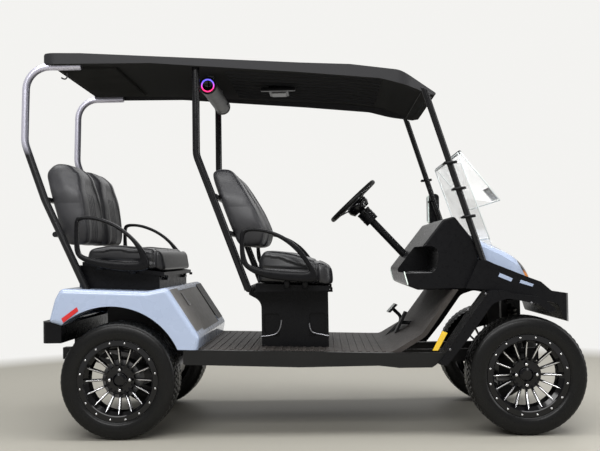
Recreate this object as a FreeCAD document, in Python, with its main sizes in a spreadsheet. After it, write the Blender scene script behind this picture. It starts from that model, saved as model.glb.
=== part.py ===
import FreeCAD, Part
import math
import os
from FreeCAD import Placement, Rotation, Vector

# Four-seat golf cart, in millimetres.
# X points forward, Y to the left, Z up; the ground is Z = 0.
# Stations along X are shares of the wheelbase from the rear axle, levels are shares of
# the belt height above the ground, and widths are named sizes from the centre plane.

os.makedirs("parts", exist_ok=True)
doc = FreeCAD.newDocument("golf_cart")

DRIVING = [
    ("wheelbase", 2000, "rear axle to front axle"),
    ("rear_axle_x", -902.2, "rear axle from the middle of the overall length"),
    ("belt_height", 1000, "level of the belt line above the ground"),
    ("half_width", 645, "centre plane to a tyre's outer side"),
    ("tyre_radius", 288, "tyre's outer radius, also the hub height"),
    ("tyre_width", 228, "section width of a tyre"),
    ("rim_radius", 203, "outer radius of the rim's flanges"),
    ("bead_radius", 188, "radius at which the tyre seats"),
    ("barrel_wall", 9, "wall of the rim's barrel"),
    ("rim_width", 206, "rim's width over its flanges"),
    ("rim_ring_radius", 170, "inner radius of the ring at the rim's outer side"),
    ("dish_depth", 62, "rim's outer lip to its hub face"),
    ("hub_radius", 74, "radius of the rim's hub disc"),
    ("hub_thick", 20, "thickness of the rim's hub disc"),
    ("spoke_width", 11, "width of one spoke of a rim"),
    ("spindle_radius", 20, "wheel spindle"),
    ("lug_circle_radius", 50.8, "circle of the wheel nuts"),
    ("lug_radius", 9, "wheel nut"),
    ("running_gap", 0.3, "gap between faces that turn or slide"),
    ("kingpin_inset", 175, "a tyre's outer side to its kingpin axis"),
    ("body_half_width", 598, "rear body's side"),
    ("body_round", 26, "rounding along the rear body's edges"),
    ("floor_half_width", 560, "floor pan's side, inside the sills"),
    ("sill_width", 38, "width of a side sill"),
    ("roof_half_width", 555, "roof's side"),
    ("rib_depth", 13, "depth of a rib under the roof"),
    ("rib_width", 10, "width of a rib under the roof"),
    ("rib_pitch", 94, "spacing of the ribs under the roof"),
    ("strut_half_spacing", 500, "rear and middle struts"),
    ("front_strut_half_spacing", 522, "front struts"),
    ("strut_radius", 19, "radius of a roof strut's tube"),
    ("front_strut_radius", 16, "radius of a front strut's tube"),
    ("cross_radius", 14, "radius of a cross tube"),
    ("shell_wall", 7, "wall of the moulded body"),
    ("panel_thick", 12, "access panel"),
    ("floor_thick", 22, "floor pan"),
    ("rail_half_spacing", 205, "centre plane to a frame rail's middle"),
    ("rail_width", 50, "width of a frame rail"),
    ("rail_depth", 64, "depth of a frame rail"),
    ("seat_half_width", 470, "half of a bench cushion"),
    ("back_half_gap", 14, "half of the gap between two seat backs"),
    ("seat_hinge_y", 300, "centre plane to the middle of a seat's hinge"),
    ("seat_hinge_width", 36, "width of a hinge's moving barrel"),
    ("seat_hinge_radius", 7, "barrel of a seat's hinge"),
    ("seat_pin_radius", 3.5, "pin of a seat's hinge"),
    ("dash_half_width", 500, "dashboard's side"),
    ("dash_round", 9, "rounding along the dashboard's ends"),
    ("nose_half_width", 542, "side of the nose beside the front struts"),
    ("nose_shoulder", 80, "rounding of the hood's shoulders"),
    ("flare_width", 198, "width of a fender flare"),
    ("flare_outer_half_width", 628, "outer side of a fender flare"),
    ("glass_thick", 5, "windshield pane"),
    ("glass_half_width", 480, "half of a windshield pane"),
    ("wheel_rim_radius", 158, "steering wheel, to the middle of its rim"),
    ("wheel_grip_radius", 14, "steering wheel's grip"),
    ("steering_y", 270, "centre plane to the steering column"),
    ("column_radius", 22, "steering column's tube"),
    ("armrest_y", 566, "centre plane to a hip restraint"),
    ("armrest_width", 30, "width of a hip restraint's bar"),
    ("armrest_round", 8, "rounding along a hip restraint's bar"),
    ("sound_bar_radius", 47, "sound bar's end rings"),
    ("sound_bar_half_length", 350, "half of the sound bar"),
    ("leaf_thick", 24, "leaf spring pack"),
    ("coil_radius", 25, "coil spring of the front suspension"),
    ("coil_pitch", 22, "spacing of a coil spring's turns"),
    ("damper_radius", 14, "damper inside a coil spring"),
    ("overrun", 5, "how far a cut runs past the face that it opens"),
]

sheet = doc.addObject("Spreadsheet::Sheet", "Sizes")
for row, (alias, value, note) in enumerate(DRIVING, start=1):
    sheet.set("A%d" % row, note)
    sheet.set("B%d" % row, str(value))
    sheet.setAlias("B%d" % row, alias)
doc.recompute()


def size(alias):
    return float(sheet.get(alias))


WHEELBASE = size("wheelbase")
BELT = size("belt_height")
GAP = size("running_gap")
OVER = size("overrun")
NEAR_SHARE = 0.495
FAR_SHARE = 0.99

NODES = []


def station(share):
    """X of a share of the wheelbase, from the rear axle."""
    return size("rear_axle_x") + share * WHEELBASE


def level(share):
    """Z of a share of the belt height."""
    return share * BELT


def side(shares):
    """Side-view outline points from shares; a third number is a corner radius or 'via'."""
    points = []
    for entry in shares:
        point = [station(entry[0]), level(entry[1])]
        if len(entry) > 2:
            point.append(entry[2] if entry[2] == "via" else entry[2] * WHEELBASE)
        points.append(tuple(point))
    return points


def corner(before, at, after, radius, rooms):
    """Tangent points and middle of a corner's arc, kept within the given shares of its edges."""
    a = Vector(*before) - Vector(*at)
    b = Vector(*after) - Vector(*at)
    room = min(a.Length * rooms[0], b.Length * rooms[1])
    a.normalize()
    b.normalize()
    half = a.getAngle(b) / 2
    reach = min(radius / math.tan(half), room)
    radius = reach * math.tan(half)
    start = Vector(*at) + a * reach
    end = Vector(*at) + b * reach
    bisector = a + b
    bisector.normalize()
    middle = Vector(*at) + bisector * (radius / math.sin(half) - radius)
    return start, middle, end


def curves(points, closed=True):
    """Lines and arcs through outline points with rounded corners."""
    count = len(points)
    flat = [(p[0], p[1], 0) for p in points]
    marks = [p[2] if len(p) > 2 else 0 for p in points]
    joints = []
    for i, mark in enumerate(marks):
        inner = closed or 0 < i < count - 1
        if mark == "via" or not mark or not inner:
            here = Vector(*flat[i])
            joints.append((here, None, here, mark == "via"))
        else:
            rooms = [NEAR_SHARE if marks[k % count] else FAR_SHARE for k in (i - 1, i + 1)]
            found = corner(flat[i - 1], flat[i], flat[(i + 1) % count], mark, rooms)
            joints.append(found + (False,))
    made = []
    for i in range(count if closed else count - 1):
        start, middle, end, via = joints[i]
        following = joints[(i + 1) % count]
        if middle is not None:
            made.append(Part.Arc(start, middle, end))
        if via:
            continue
        if following[3]:
            target = joints[(i + 2) % count][0]
            made.append(Part.Arc(end, following[0], target))
        else:
            made.append(Part.LineSegment(end, following[0]))
    return made


def plane_of(body, role):
    return [item for item in body.Origin.OriginFeatures if item.Role == role][0]


def add_sketch(body, role, name, geometry, offset=None):
    """Sketch on one of the body's origin planes, moved along its normal by an expression."""
    sketch = body.newObject("Sketcher::SketchObject", name)
    sketch.AttachmentSupport = [(plane_of(body, role), "")]
    sketch.MapMode = "FlatFace"
    if offset is not None:
        sketch.setExpression("AttachmentOffset.Base.z", offset)
    sketch.addGeometry(geometry, False)
    return sketch


def padded(body, name, role, geometry, low, high):
    """Outline padded inside a body between two expressions along the plane's world axis."""
    flip = role == "XZ_Plane"
    sketch = add_sketch(body, role, name + "_outline", geometry, "-(%s)" % high if flip else low)
    pad = body.newObject("PartDesign::Pad", name + "_pad")
    pad.Profile = sketch
    pad.setExpression("Length", "(%s) - (%s)" % (high, low))
    body.Tip = pad
    return pad


def prism(name, role, geometry, low, high):
    """Body made of one padded outline."""
    body = doc.addObject("PartDesign::Body", name)
    padded(body, name, role, geometry, low, high)
    return body


def across(name, shares, half):
    """Side outline padded to both sides of the centre plane."""
    return prism(name, "XZ_Plane", curves(side(shares)), "-(%s)" % half, half)


def rounded(body, radius, pick):
    """Fillet on those edges of a body's last feature that pick accepts."""
    doc.recompute()
    tip = body.Tip
    names = ["Edge%d" % (i + 1) for i, edge in enumerate(tip.Shape.Edges) if pick(edge.BoundBox)]
    item = body.newObject("PartDesign::Fillet", body.Name + "_round")
    item.Base = (tip, names)
    item.setExpression("Radius", radius)
    body.Tip = item
    return body


def turned(body, name, points, role="YZ_Plane"):
    """Outline turned about the first axis of its own sketch, inside a body."""
    sketch = add_sketch(body, role, name + "_outline", curves(points))
    turn = body.newObject("PartDesign::Revolution", name + "_turn")
    turn.Profile = sketch
    turn.ReferenceAxis = (sketch, ["H_Axis"])
    turn.Angle = 360
    body.Tip = turn
    return sketch


def ringed(body, name, feature, axis_sketch, count):
    """Copies of a feature all round the first axis of a sketch."""
    pattern = body.newObject("PartDesign::PolarPattern", name + "_ring")
    pattern.Originals = [feature]
    pattern.Axis = (axis_sketch, ["H_Axis"])
    pattern.Angle = 360
    pattern.Occurrences = count
    body.Tip = pattern


def cylinder(name, radius, start, end):
    """Cylinder between two points; radius is an expression."""
    axis = end - start
    item = doc.addObject("Part::Cylinder", name)
    item.setExpression("Radius", radius)
    item.Height = axis.Length
    item.Placement = Placement(start, Rotation(Vector(0, 0, 1), axis))
    return item


def box(name, low, high):
    item = doc.addObject("Part::Box", name)
    item.Length = high.x - low.x
    item.Width = high.y - low.y
    item.Height = high.z - low.z
    item.Placement = Placement(low, Rotation())
    return item


def side_box(name, shares, y_low, y_high):
    """Box between two side-view corners and two widths."""
    (x0, z0), (x1, z1) = side(shares)
    return box(name, Vector(x0, y_low, z0), Vector(x1, y_high, z1))


def tube(name, radius, points, frame):
    """Round tube along a planar path with rounded bends; frame places the path's plane."""
    path = doc.addObject("Sketcher::SketchObject", name + "_path")
    path.Placement = frame
    geometry = curves(points, False)
    path.addGeometry(geometry, False)
    section = doc.addObject("Part::Circle", name + "_section")
    section.setExpression("Radius", radius)
    first = geometry[0]
    start = first.value(first.FirstParameter)
    facing = frame.Rotation.multVec(first.tangent(first.FirstParameter)[0])
    section.Placement = Placement(frame.multVec(start), Rotation(Vector(0, 0, 1), facing))
    doc.recompute()
    sweep = doc.addObject("Part::Sweep", name)
    sweep.Sections = [section]
    sweep.Spine = (path, ["Edge%d" % (i + 1) for i in range(len(geometry))])
    sweep.Solid = True
    sweep.Frenet = True
    return sweep


def side_frame(y):
    """Plane of a side view at the given Y: its own x and y run along world X and Z."""
    return Placement(Vector(0, y, 0), Rotation(Vector(1, 0, 0), 90))


def cut(name, base, tool):
    item = doc.addObject("Part::Cut", name)
    item.Base = base
    item.Tool = tool
    return item


def common(name, base, tool):
    item = doc.addObject("Part::Common", name)
    item.Base = base
    item.Tool = tool
    return item


def fuse(name, shapes):
    item = doc.addObject("Part::MultiFuse", name)
    item.Shapes = shapes
    return item


def gather(name, shapes):
    item = doc.addObject("Part::Compound", name)
    item.Links = shapes
    return item


def mirrored(name, source):
    """The same piece on the other side of the centre plane."""
    item = doc.addObject("Part::Mirroring", name)
    item.Source = source
    item.Normal = Vector(0, 1, 0)
    return item


def pair(name, source):
    """A right-hand piece and its mirror image, as two solids of one node."""
    return gather(name, [source, mirrored(name + "_left", source)])


def node(label, item):
    item.Label = label
    NODES.append(item)
    return item


def plan(shares, half):
    """Plan outline points: stations by shares of a half width."""
    points = []
    for entry in shares:
        point = [station(entry[0]), entry[1] * half]
        if len(entry) > 2:
            point.append(entry[2] if entry[2] == "via" else entry[2] * WHEELBASE)
        points.append(tuple(point))
    return points


def upright(name, shares, half, reach_shares):
    """Plan outline padded between two levels."""
    low, high = ["Sizes.belt_height * %s" % share for share in reach_shares]
    return prism(name, "XY_Plane", curves(plan(shares, half)), low, high)


def along_line(shares, z):
    """X of a side-view line between two share points at a level."""
    (x0, z0), (x1, z1) = side(shares)
    return x0 + (x1 - x0) * (z - z0) / (z1 - z0)


# Floor, sills and frame

FLOOR_REAR_SHARE = 0.1595
FLOOR_LEVEL_SHARE = 0.433
FLOOR_FALL_SHARE = 0.0575
TOE_START_SHARE = 0.6725
TOE_SHARES = [(0.7475, 0.49, 0.05), (0.829, 0.7065)]


def floor_level(share):
    """Top of the floor, which falls a little towards the front."""
    return level(FLOOR_LEVEL_SHARE - FLOOR_FALL_SHARE * (share - FLOOR_REAR_SHARE))


def make_floor():
    thick = size("floor_thick")
    bend = TOE_SHARES[0][2] * WHEELBASE
    top = [(station(FLOOR_REAR_SHARE), floor_level(FLOOR_REAR_SHARE)),
           (station(TOE_START_SHARE), floor_level(TOE_START_SHARE), bend)]
    toe = side(TOE_SHARES)
    under = [(toe[1][0] + thick, toe[1][1]),
             (toe[0][0] + thick, toe[0][1] - thick / 2, bend),
             (top[1][0] + thick / 2, top[1][1] - thick, bend),
             (top[0][0], top[0][1] - thick)]
    half = "Sizes.floor_half_width"
    pan = prism("floor_pan_body", "XZ_Plane", curves(top + toe + under), "-" + half, half)
    return node("floor_pan", pan)


SILL_SHARES = [(0.643, 0.405), (0.8255, 0.400, 0.004), (0.8, 0.372, 0.006), (0.77, 0.331, 0.004),
               (0.69, 0.331, 0.006), (0.64, 0.343), (0.4465, 0.340), (0.159, 0.360, 0.004)]


def make_sill(name):
    rear = (station(FLOOR_REAR_SHARE), floor_level(FLOOR_REAR_SHARE))
    return prism(name, "XZ_Plane", curves([rear] + side(SILL_SHARES)),
                 "-Sizes.floor_half_width - Sizes.sill_width", "-Sizes.floor_half_width")


def make_sills():
    return node("side_sills", pair("sills", make_sill("sill_right")))


RAIL_REAR_SHARE = -0.155
RAIL_KICK_SHARE = 0.1
RAIL_DROP_SHARE = 0.148
RAIL_FRONT_SHARE = 1.07
RAIL_ARCH_SHARE = 0.464
RAIL_BEND_SHARE = 0.015
CROSS_STATION_SHARES = (RAIL_REAR_SHARE, RAIL_KICK_SHARE, 0.45, TOE_START_SHARE, 0.93)
CROSS_DEPTH_SHARES = (0.8, 0.1)
TOWER_SHARES = [(0.975, 0.37), (1.025, 0.37), (1.025, 0.72), (0.975, 0.72)]
RAIL_LOW = "-Sizes.rail_half_spacing - Sizes.rail_width / 2"
RAIL_HIGH = "-Sizes.rail_half_spacing + Sizes.rail_width / 2"


def rail_outer():
    return size("rail_half_spacing") + size("rail_width") / 2


def make_frame(fascia_block):
    """Two kicked-up rails, their cross members and the towers under the nose."""
    thick = size("floor_thick")
    depth = size("rail_depth")
    bend = WHEELBASE * RAIL_BEND_SHARE
    arch = level(RAIL_ARCH_SHARE)
    under_rear = floor_level(RAIL_DROP_SHARE) - thick
    under_front = floor_level(TOE_START_SHARE) - thick
    top = [(station(RAIL_REAR_SHARE), arch), (station(RAIL_KICK_SHARE), arch, bend),
           (station(RAIL_DROP_SHARE), under_rear, bend / 2),
           (station(TOE_START_SHARE), under_front), (station(RAIL_FRONT_SHARE), under_front)]
    under = [(x, z - depth) + tuple(rest) for x, z, *rest in reversed(top)]
    rail = prism("rail_right", "XZ_Plane", curves(top + under), RAIL_LOW, RAIL_HIGH)
    tower = prism("tower_blank", "XZ_Plane", curves(side(TOWER_SHARES)), RAIL_LOW, RAIL_HIGH)
    trimmed = cut("tower_right", tower, fascia_block)
    bits = [rail, trimmed, mirrored("rail_left", rail), mirrored("tower_left", trimmed)]
    inner = size("rail_half_spacing")
    for i, share in enumerate(CROSS_STATION_SHARES):
        x = station(share)
        z = arch if share <= RAIL_KICK_SHARE else floor_level(min(share, TOE_START_SHARE)) - thick
        low, high = [z - depth * part for part in CROSS_DEPTH_SHARES]
        bits.append(box("cross_member_%d" % i, Vector(x, -inner, low), Vector(x + depth, inner, high)))
    return node("frame", fuse("frame_fused", bits))


# Rear body

BODY_SHARES = [(-0.1755, 0.578, 0.006), (-0.1605, 0.690, 0.03), (-0.146, 0.7435, 0.017),
               (0.069, 0.7235, 0.05), (0.1205, 0.742, 0.016), (0.2, 0.493, 0.02), (0.1945, 0.431)]
BODY_ARCH_SHARES = [(0.1455, 0.434), (0.005, 0.648, "via"), (-0.1445, 0.560)]
BODY_ROUND_SHARES = (0.16, 0.6)
WELL_SHARES = ((-0.16, 0.3), (0.12, 0.665))
WELL_HALF_SHARE = 0.64


def edge_curve(edge):
    """Bounded curve of an edge, as sketch geometry."""
    first, last = edge.ParameterRange
    ends = edge.valueAt(first), edge.valueAt(last)
    if isinstance(edge.Curve, Part.Circle):
        return Part.Arc(ends[0], edge.valueAt((first + last) / 2), ends[1])
    return Part.LineSegment(*ends)


def upper_end(bounds):
    """True for an edge along the rear body's top or front corner, at either side of the cart."""
    (x, z), = side([BODY_ROUND_SHARES])
    return bounds.YLength < GAP and bounds.XMax < x and bounds.ZMin > z


def make_rear_body():
    """Outer form of the moulded rear body, and its shell with the well for the battery."""
    half = "Sizes.body_half_width"
    outline = curves(side(BODY_SHARES + BODY_ARCH_SHARES))
    outer = prism("rear_body_outer", "XZ_Plane", outline, "-" + half, half)
    rounded(outer, "Sizes.body_round", upper_end)
    wire = Part.Wire([c.toShape() for c in outline])
    inside = wire.makeOffset2D(-size("shell_wall"))
    hollow = prism("rear_body_hollow", "XZ_Plane", [edge_curve(e) for e in inside.Edges],
                   "-%s + Sizes.shell_wall" % half, "%s - Sizes.shell_wall" % half)
    rounded(hollow, "Sizes.body_round - Sizes.shell_wall", upper_end)
    shell = cut("rear_body_shell", outer, hollow)
    well = size("body_half_width") * WELL_HALF_SHARE
    return outer, cut("rear_body_open", shell, side_box("rear_body_well", WELL_SHARES, -well, well))


PANEL_SHARES = [(0.1205, 0.742), (0.2, 0.493)]
PANEL_END_SHARES = (0.03, 0.02)
PANEL_HALF_SHARE = 0.58
PANEL_REST_SHARE = 1 / 3


def make_access_panel(shell):
    """Slab let into the body's sloping front wall."""
    top, foot = side(PANEL_SHARES)
    direction = Vector(foot[0] - top[0], foot[1] - top[1], 0)
    direction.normalize()
    inward = Vector(direction.y, -direction.x, 0)
    start = Vector(*top, 0) + direction * level(PANEL_END_SHARES[0])
    end = Vector(*foot, 0) - direction * level(PANEL_END_SHARES[1])
    half = "Sizes.body_half_width * %s" % PANEL_HALF_SHARE

    def slab(name, outer, inner):
        corners = [start + inward * outer, end + inward * outer,
                   end + inward * inner, start + inward * inner]
        return prism(name, "XZ_Plane", curves([(p.x, p.y) for p in corners]), "-" + half, half)

    window = slab("panel_window", -OVER, size("shell_wall") + size("panel_thick"))
    node("rear_body", cut("rear_body_cut", shell, window))
    rest = size("shell_wall") * PANEL_REST_SHARE
    return node("rear_access_panel", slab("panel_slab", rest, rest + size("panel_thick")))


BUMPER_REACH_SHARES = (0.472, 0.578)
BUMPER_PLAN_SHARES = [(-0.146, -0.96), (-0.19, -0.96, 0.015), (-0.2035, -0.82, 0.02),
                      (-0.2035, 0.82, 0.02), (-0.19, 0.96, 0.015), (-0.146, 0.96)]


def make_rear_bumper(body_block):
    bar = upright("rear_bumper_bar", BUMPER_PLAN_SHARES, size("body_half_width"), BUMPER_REACH_SHARES)
    return node("rear_bumper", cut("rear_bumper_cut", bar, body_block))


HITCH_WALL = 6
HITCH_WIDTH = 63
HITCH_PLATE = 9
HITCH_FRONT_SHARE = -0.1
HITCH_REAR_SHARE = -0.2195
HITCH_LEVEL_SHARE = 0.368
PIN_HOLE_RADIUS = 8
PIN_PLACE_SHARE = 0.7


def make_tow_bracket():
    """Square receiver with a cross pin hole, hung from a plate under the frame's rear."""
    half = HITCH_WIDTH / 2
    rear = station(HITCH_REAR_SHARE)
    front = station(HITCH_FRONT_SHARE)
    z = level(HITCH_LEVEL_SHARE)
    outer = box("receiver_outer", Vector(rear, -half, z - half), Vector(front, half, z + half))
    inner = half - HITCH_WALL
    bore = box("receiver_bore", Vector(rear - OVER, -inner, z - inner),
               Vector(front - HITCH_WALL, inner, z + inner))
    pin_x = rear + HITCH_WIDTH * PIN_PLACE_SHARE
    hole = cylinder("receiver_pin_hole", str(PIN_HOLE_RADIUS), Vector(pin_x, -half - OVER, z),
                    Vector(pin_x, half + OVER, z))
    face = station(RAIL_REAR_SHARE)
    plate = box("hitch_plate", Vector(face - HITCH_PLATE, -rail_outer(), z - half),
                Vector(face, rail_outer(), level(RAIL_ARCH_SHARE)))
    solid = fuse("hitch_solid", [outer, plate])
    return node("tow_bracket", cut("hitch_cut", cut("hitch_hollow", solid, bore), hole))


# Nose

COWL_SHARES = [(0.8925, 1.05), (1.06, 1.05), (1.0515, 0.738, 0.006), (1.0175, 0.763, 0.02),
               (0.9335, 0.830, 0.02), (0.9125, 0.850), (0.8975, 0.988)]
COWL_SECTION_SHARES = [(0.890, 0.95, 0.950, 0.996), (0.914, 0.94, 0.935, 0.973), (0.944, 0.93, 0.905, 0.946),
                       (0.972, 0.91, 0.880, 0.918), (0.996, 0.875, 0.850, 0.886),
                       (1.020, 0.80, 0.805, 0.846), (1.038, 0.71, 0.750, 0.796), (1.0535, 0.62, 0.700, 0.735)]
COWL_FOOT_SHARE = 0.6
FASCIA_SHARES = [(0.9125, 0.850), (0.9335, 0.830, 0.02), (1.0175, 0.763, 0.02), (1.0515, 0.738),
                 (1.08, 0.690, 0.01), (1.14, 0.672, 0.012), (1.16, 0.612, 0.02), (1.1405, 0.524, 0.008),
                 (1.11, 0.543, 0.008), (1.098, 0.625, 0.02), (1.0325, 0.655, 0.03), (0.9325, 0.700),
                 (0.86, 0.712), (0.8925, 0.850)]
NOSE_PLAN_SHARES = [(0.85, -1.0), (0.95, -1.0), (1.03, -0.93), (1.1185, -0.83), (1.16, 0, "via"),
                    (1.1185, 0.83), (1.03, 0.93), (0.95, 1.0), (0.85, 1.0)]
COWL_PLAN_SHARES = [(0.85, -0.93), (0.99, -0.88, 0.06), (1.052, -0.62, 0.05),
                    (1.052, 0.62, 0.05), (0.99, 0.88, 0.06), (0.85, 0.93)]
NOSE_REACH_SHARES = (0.4, 1.2)
LAMP_SHARES = [(1.0105, 0.90), (1.09, 0.90), (1.09, 0.74), (1.047, 0.7405), (1.0225, 0.762),
               (0.9985, 0.838, 0.01)]
LAMP_HALF_SHARE = 0.5
CROWN_SHARE = 0.7


def hood_section(index, share, half_share, shoulder, crown):
    """Outline across the hood at one station: upright sides, round shoulders, crowned top."""
    half = size("nose_half_width") * half_share
    foot, edge, top = level(COWL_FOOT_SHARE), level(shoulder), level(crown)
    mark = min(size("nose_shoulder"), half / 2)
    z = edge + (top - edge) * CROWN_SHARE
    points = [(-half, foot), (-half, edge, mark), (-half / 2, z), (0, top, "via"), (half / 2, z),
              (half, edge, mark), (half, foot)]
    item = doc.addObject("Sketcher::SketchObject", "hood_section_%d" % index)
    item.Placement = Placement(Vector(station(share), 0, 0), Rotation(Vector(1, 1, 1), 120))
    item.addGeometry(curves(points), False)
    return item


def make_nose():
    """Crowned hood over the bumper fascia, with the headlights cut out of its corners."""
    half = size("nose_half_width")
    side_fascia = across("fascia_side", FASCIA_SHARES, "Sizes.half_width")
    plan_fascia = upright("fascia_plan", NOSE_PLAN_SHARES, half, NOSE_REACH_SHARES)
    fascia = common("fascia_common", side_fascia, plan_fascia)
    form = doc.addObject("Part::Loft", "hood_form")
    form.Sections = [hood_section(i, *entry) for i, entry in enumerate(COWL_SECTION_SHARES)]
    form.Solid = True
    form.Ruled = False
    bounded = common("cowl_bounded", form, across("cowl_side", COWL_SHARES, "Sizes.half_width"))
    cowl = common("cowl_common", bounded, upright("cowl_plan", COWL_PLAN_SHARES, half, NOSE_REACH_SHARES))
    block = prism("lamp_block_right", "XZ_Plane", curves(side(LAMP_SHARES)), "-Sizes.nose_half_width",
                  "-Sizes.nose_half_width * %s" % LAMP_HALF_SHARE)
    blocks = fuse("lamp_blocks", [block, mirrored("lamp_block_left", block)])
    node("front_cowl", cut("cowl_cut", cowl, blocks))
    node("front_fascia", fascia)
    node("headlights", common("lamps_common", cowl, blocks))
    return fascia, cowl


FLARE_SHARES = [(0.7845, 0.350), (0.8045, 0.409), (0.8615, 0.572, 0.03), (0.9115, 0.702, 0.02),
                (0.9475, 0.700, 0.02), (0.9765, 0.684), (1.038, 0.667, 0.02), (1.075, 0.600, 0.006),
                (1.055, 0.592, 0.006), (1.03, 0.633, 0.02), (0.955, 0.664, 0.03), (0.918, 0.640, 0.03),
                (0.8605, 0.480, 0.03), (0.8035, 0.341)]


def make_flares(fascia_block):
    right = prism("flare_blank", "XZ_Plane", curves(side(FLARE_SHARES)),
                  "-Sizes.flare_outer_half_width", "-Sizes.flare_outer_half_width + Sizes.flare_width")
    trimmed = cut("flare_right", right, fascia_block)
    clear = cut("flare_clear", trimmed, make_sill("flare_sill_block"))
    return node("fender_flares", pair("flares", clear))


# Dashboard

DASH_SHARES = [(0.8385, 1.073, 0.01), (0.8105, 1.058, 0.012), (0.7105, 0.807, 0.012),
               (0.72, 0.727, 0.012), (0.7435, 0.7065, 0.01), (0.86, 0.7065), (0.86, 0.712),
               (0.8925, 0.850), (0.8945, 0.926)]
DASH_ROUND_SHARE = 0.842
CUBBY_SHARES = [(0.69, 0.925), (0.80, 0.925, 0.02), (0.79, 0.790, 0.02), (0.69, 0.790)]
CUBBY_INNER_SHARE = 0.12


def dash_end(bounds):
    """True for an edge round the rear part of either end of the dashboard."""
    return bounds.YLength < GAP and bounds.XMax < station(DASH_ROUND_SHARE)


def make_dash():
    outer = across("dash_outer", DASH_SHARES, "Sizes.dash_half_width")
    rounded(outer, "Sizes.dash_round", dash_end)
    cubby = prism("dash_cubby", "XZ_Plane", curves(side(CUBBY_SHARES)),
                  "-Sizes.dash_half_width - Sizes.overrun", "-Sizes.dash_half_width * %s" % CUBBY_INNER_SHARE)
    return node("dashboard", cut("dash_cut", outer, cubby))


# Roof, struts and glass

ROOF_TOP_SHARES = [(-0.192, 1.931, 0.006), (-0.0955, 1.926), (0.0815, 1.903), (0.2075, 1.887),
                   (0.4585, 1.854), (0.5835, 1.841), (0.7075, 1.807, 0.08), (0.811, 1.700, 0.003)]
ROOF_UNDER_SHARES = [(0.785, 1.697, 0.01), (0.6575, 1.767, 0.1), (0.458, 1.806), (0.2075, 1.847),
                     (0.0815, 1.868), (-0.1715, 1.874), (-0.192, 1.885, 0.004)]
ROOF_PLAN_SHARES = [(-0.2, -1.0, 0.04), (-0.2, 1.0, 0.04), (0.72, 1.0, 0.06), (0.86, 0.62, 0.1),
                    (0.86, -0.62, 0.1), (0.72, -1.0, 0.06)]
ROOF_REACH_SHARES = (1.6, 2.2)
CEILING_SHARES = [(0.0815, 1.878), (0.2075, 1.862), (0.4585, 1.829), (0.5835, 1.816),
                  (0.6975, 1.782, 0.08)]
RECESS_SHARES = [(-0.21, 1.80), (-0.21, 1.898)] + CEILING_SHARES + [(0.765, 1.715, 0.01), (0.765, 1.65)]
UNDER_ROOF_SHARES = [(-0.3, 0.3), (-0.3, 1.90345)] + CEILING_SHARES + [(0.765, 1.715), (1.1, 1.40), (1.1, 0.3)]
ROOF_LIP_SHARE = 0.016
RIB_SHARES = [(0.262, 1.8548), (0.4585, 1.829), (0.5835, 1.816), (0.668, 1.7918)]
RIB_COUNT = 9


def make_ribs():
    """Lengthwise ribs that run along the ceiling and reach a little into the roof."""
    line = side(RIB_SHARES)
    depth = size("rib_depth")
    points = [(x, z + depth / 2) for x, z in line] + [(x, z - depth) for x, z in reversed(line)]
    ribs = []
    for i in range(RIB_COUNT):
        shift = "Sizes.rib_pitch * %s" % (i - (RIB_COUNT - 1) / 2)
        ribs.append(prism("roof_rib_%d" % i, "XZ_Plane", curves(points),
                          "%s - Sizes.rib_width / 2" % shift, "%s + Sizes.rib_width / 2" % shift))
    return ribs


def make_roof():
    half = size("roof_half_width")
    outer = across("roof_side", ROOF_TOP_SHARES + ROOF_UNDER_SHARES, "Sizes.roof_half_width")
    slab = common("roof_slab", outer, upright("roof_plan", ROOF_PLAN_SHARES, half, ROOF_REACH_SHARES))
    deep = across("roof_recess_side", RECESS_SHARES, "Sizes.roof_half_width")
    inside = [(p[0] - ROOF_LIP_SHARE,) + tuple(p[1:]) for p in ROOF_PLAN_SHARES]
    lip = upright("roof_recess_plan", inside, half - WHEELBASE * ROOF_LIP_SHARE, ROOF_REACH_SHARES)
    hollow = cut("roof_hollow", slab, common("roof_recess", deep, lip))
    return node("roof", fuse("roof_fused", [hollow] + make_ribs()))


REAR_STRUT_SHARES = [(-0.10, 1.871), (-0.240, 1.871, 0.06), (-0.246, 1.485, 0.08), (-0.1955, 1.192, 0.2),
                     (-0.088, 0.72)]
MIDDLE_STRUT_SHARES = [(0.1925, 1.90), (0.1915, 1.407, 0.06), (0.318, 0.722)]
FRONT_STRUT_SHARES = [(0.752, 1.82), (0.9133, 0.80)]
FRONT_BACK_LINE_SHARES = [(0.220, 1.326), (0.3015, 0.900)]
REAR_BACK_LINE_SHARES = [(-0.2115, 1.340), (-0.1425, 0.880)]
REAR_BAR_SHARES = (1.02, 1.2)
MIDDLE_BAR_SHARES = (1.01, 1.2)


def cross_tube(name, x, z):
    half = size("strut_half_spacing")
    return cylinder(name, "Sizes.cross_radius", Vector(x, -half, z), Vector(x, half, z))


def bars_behind(name, line_shares, height_shares):
    """Cross tubes that lie behind the rear faces of a row of seat backs."""
    (x0, z0), (x1, z1) = side(line_shares)
    out = Vector(z1 - z0, x0 - x1, 0)
    out.normalize()
    out = out * (size("cross_radius") + GAP)
    made = []
    for i, share in enumerate(height_shares):
        x = along_line(line_shares, level(share))
        made.append(cross_tube("%s_%d" % (name, i), x + out.x, level(share) + out.y))
    return made


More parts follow.
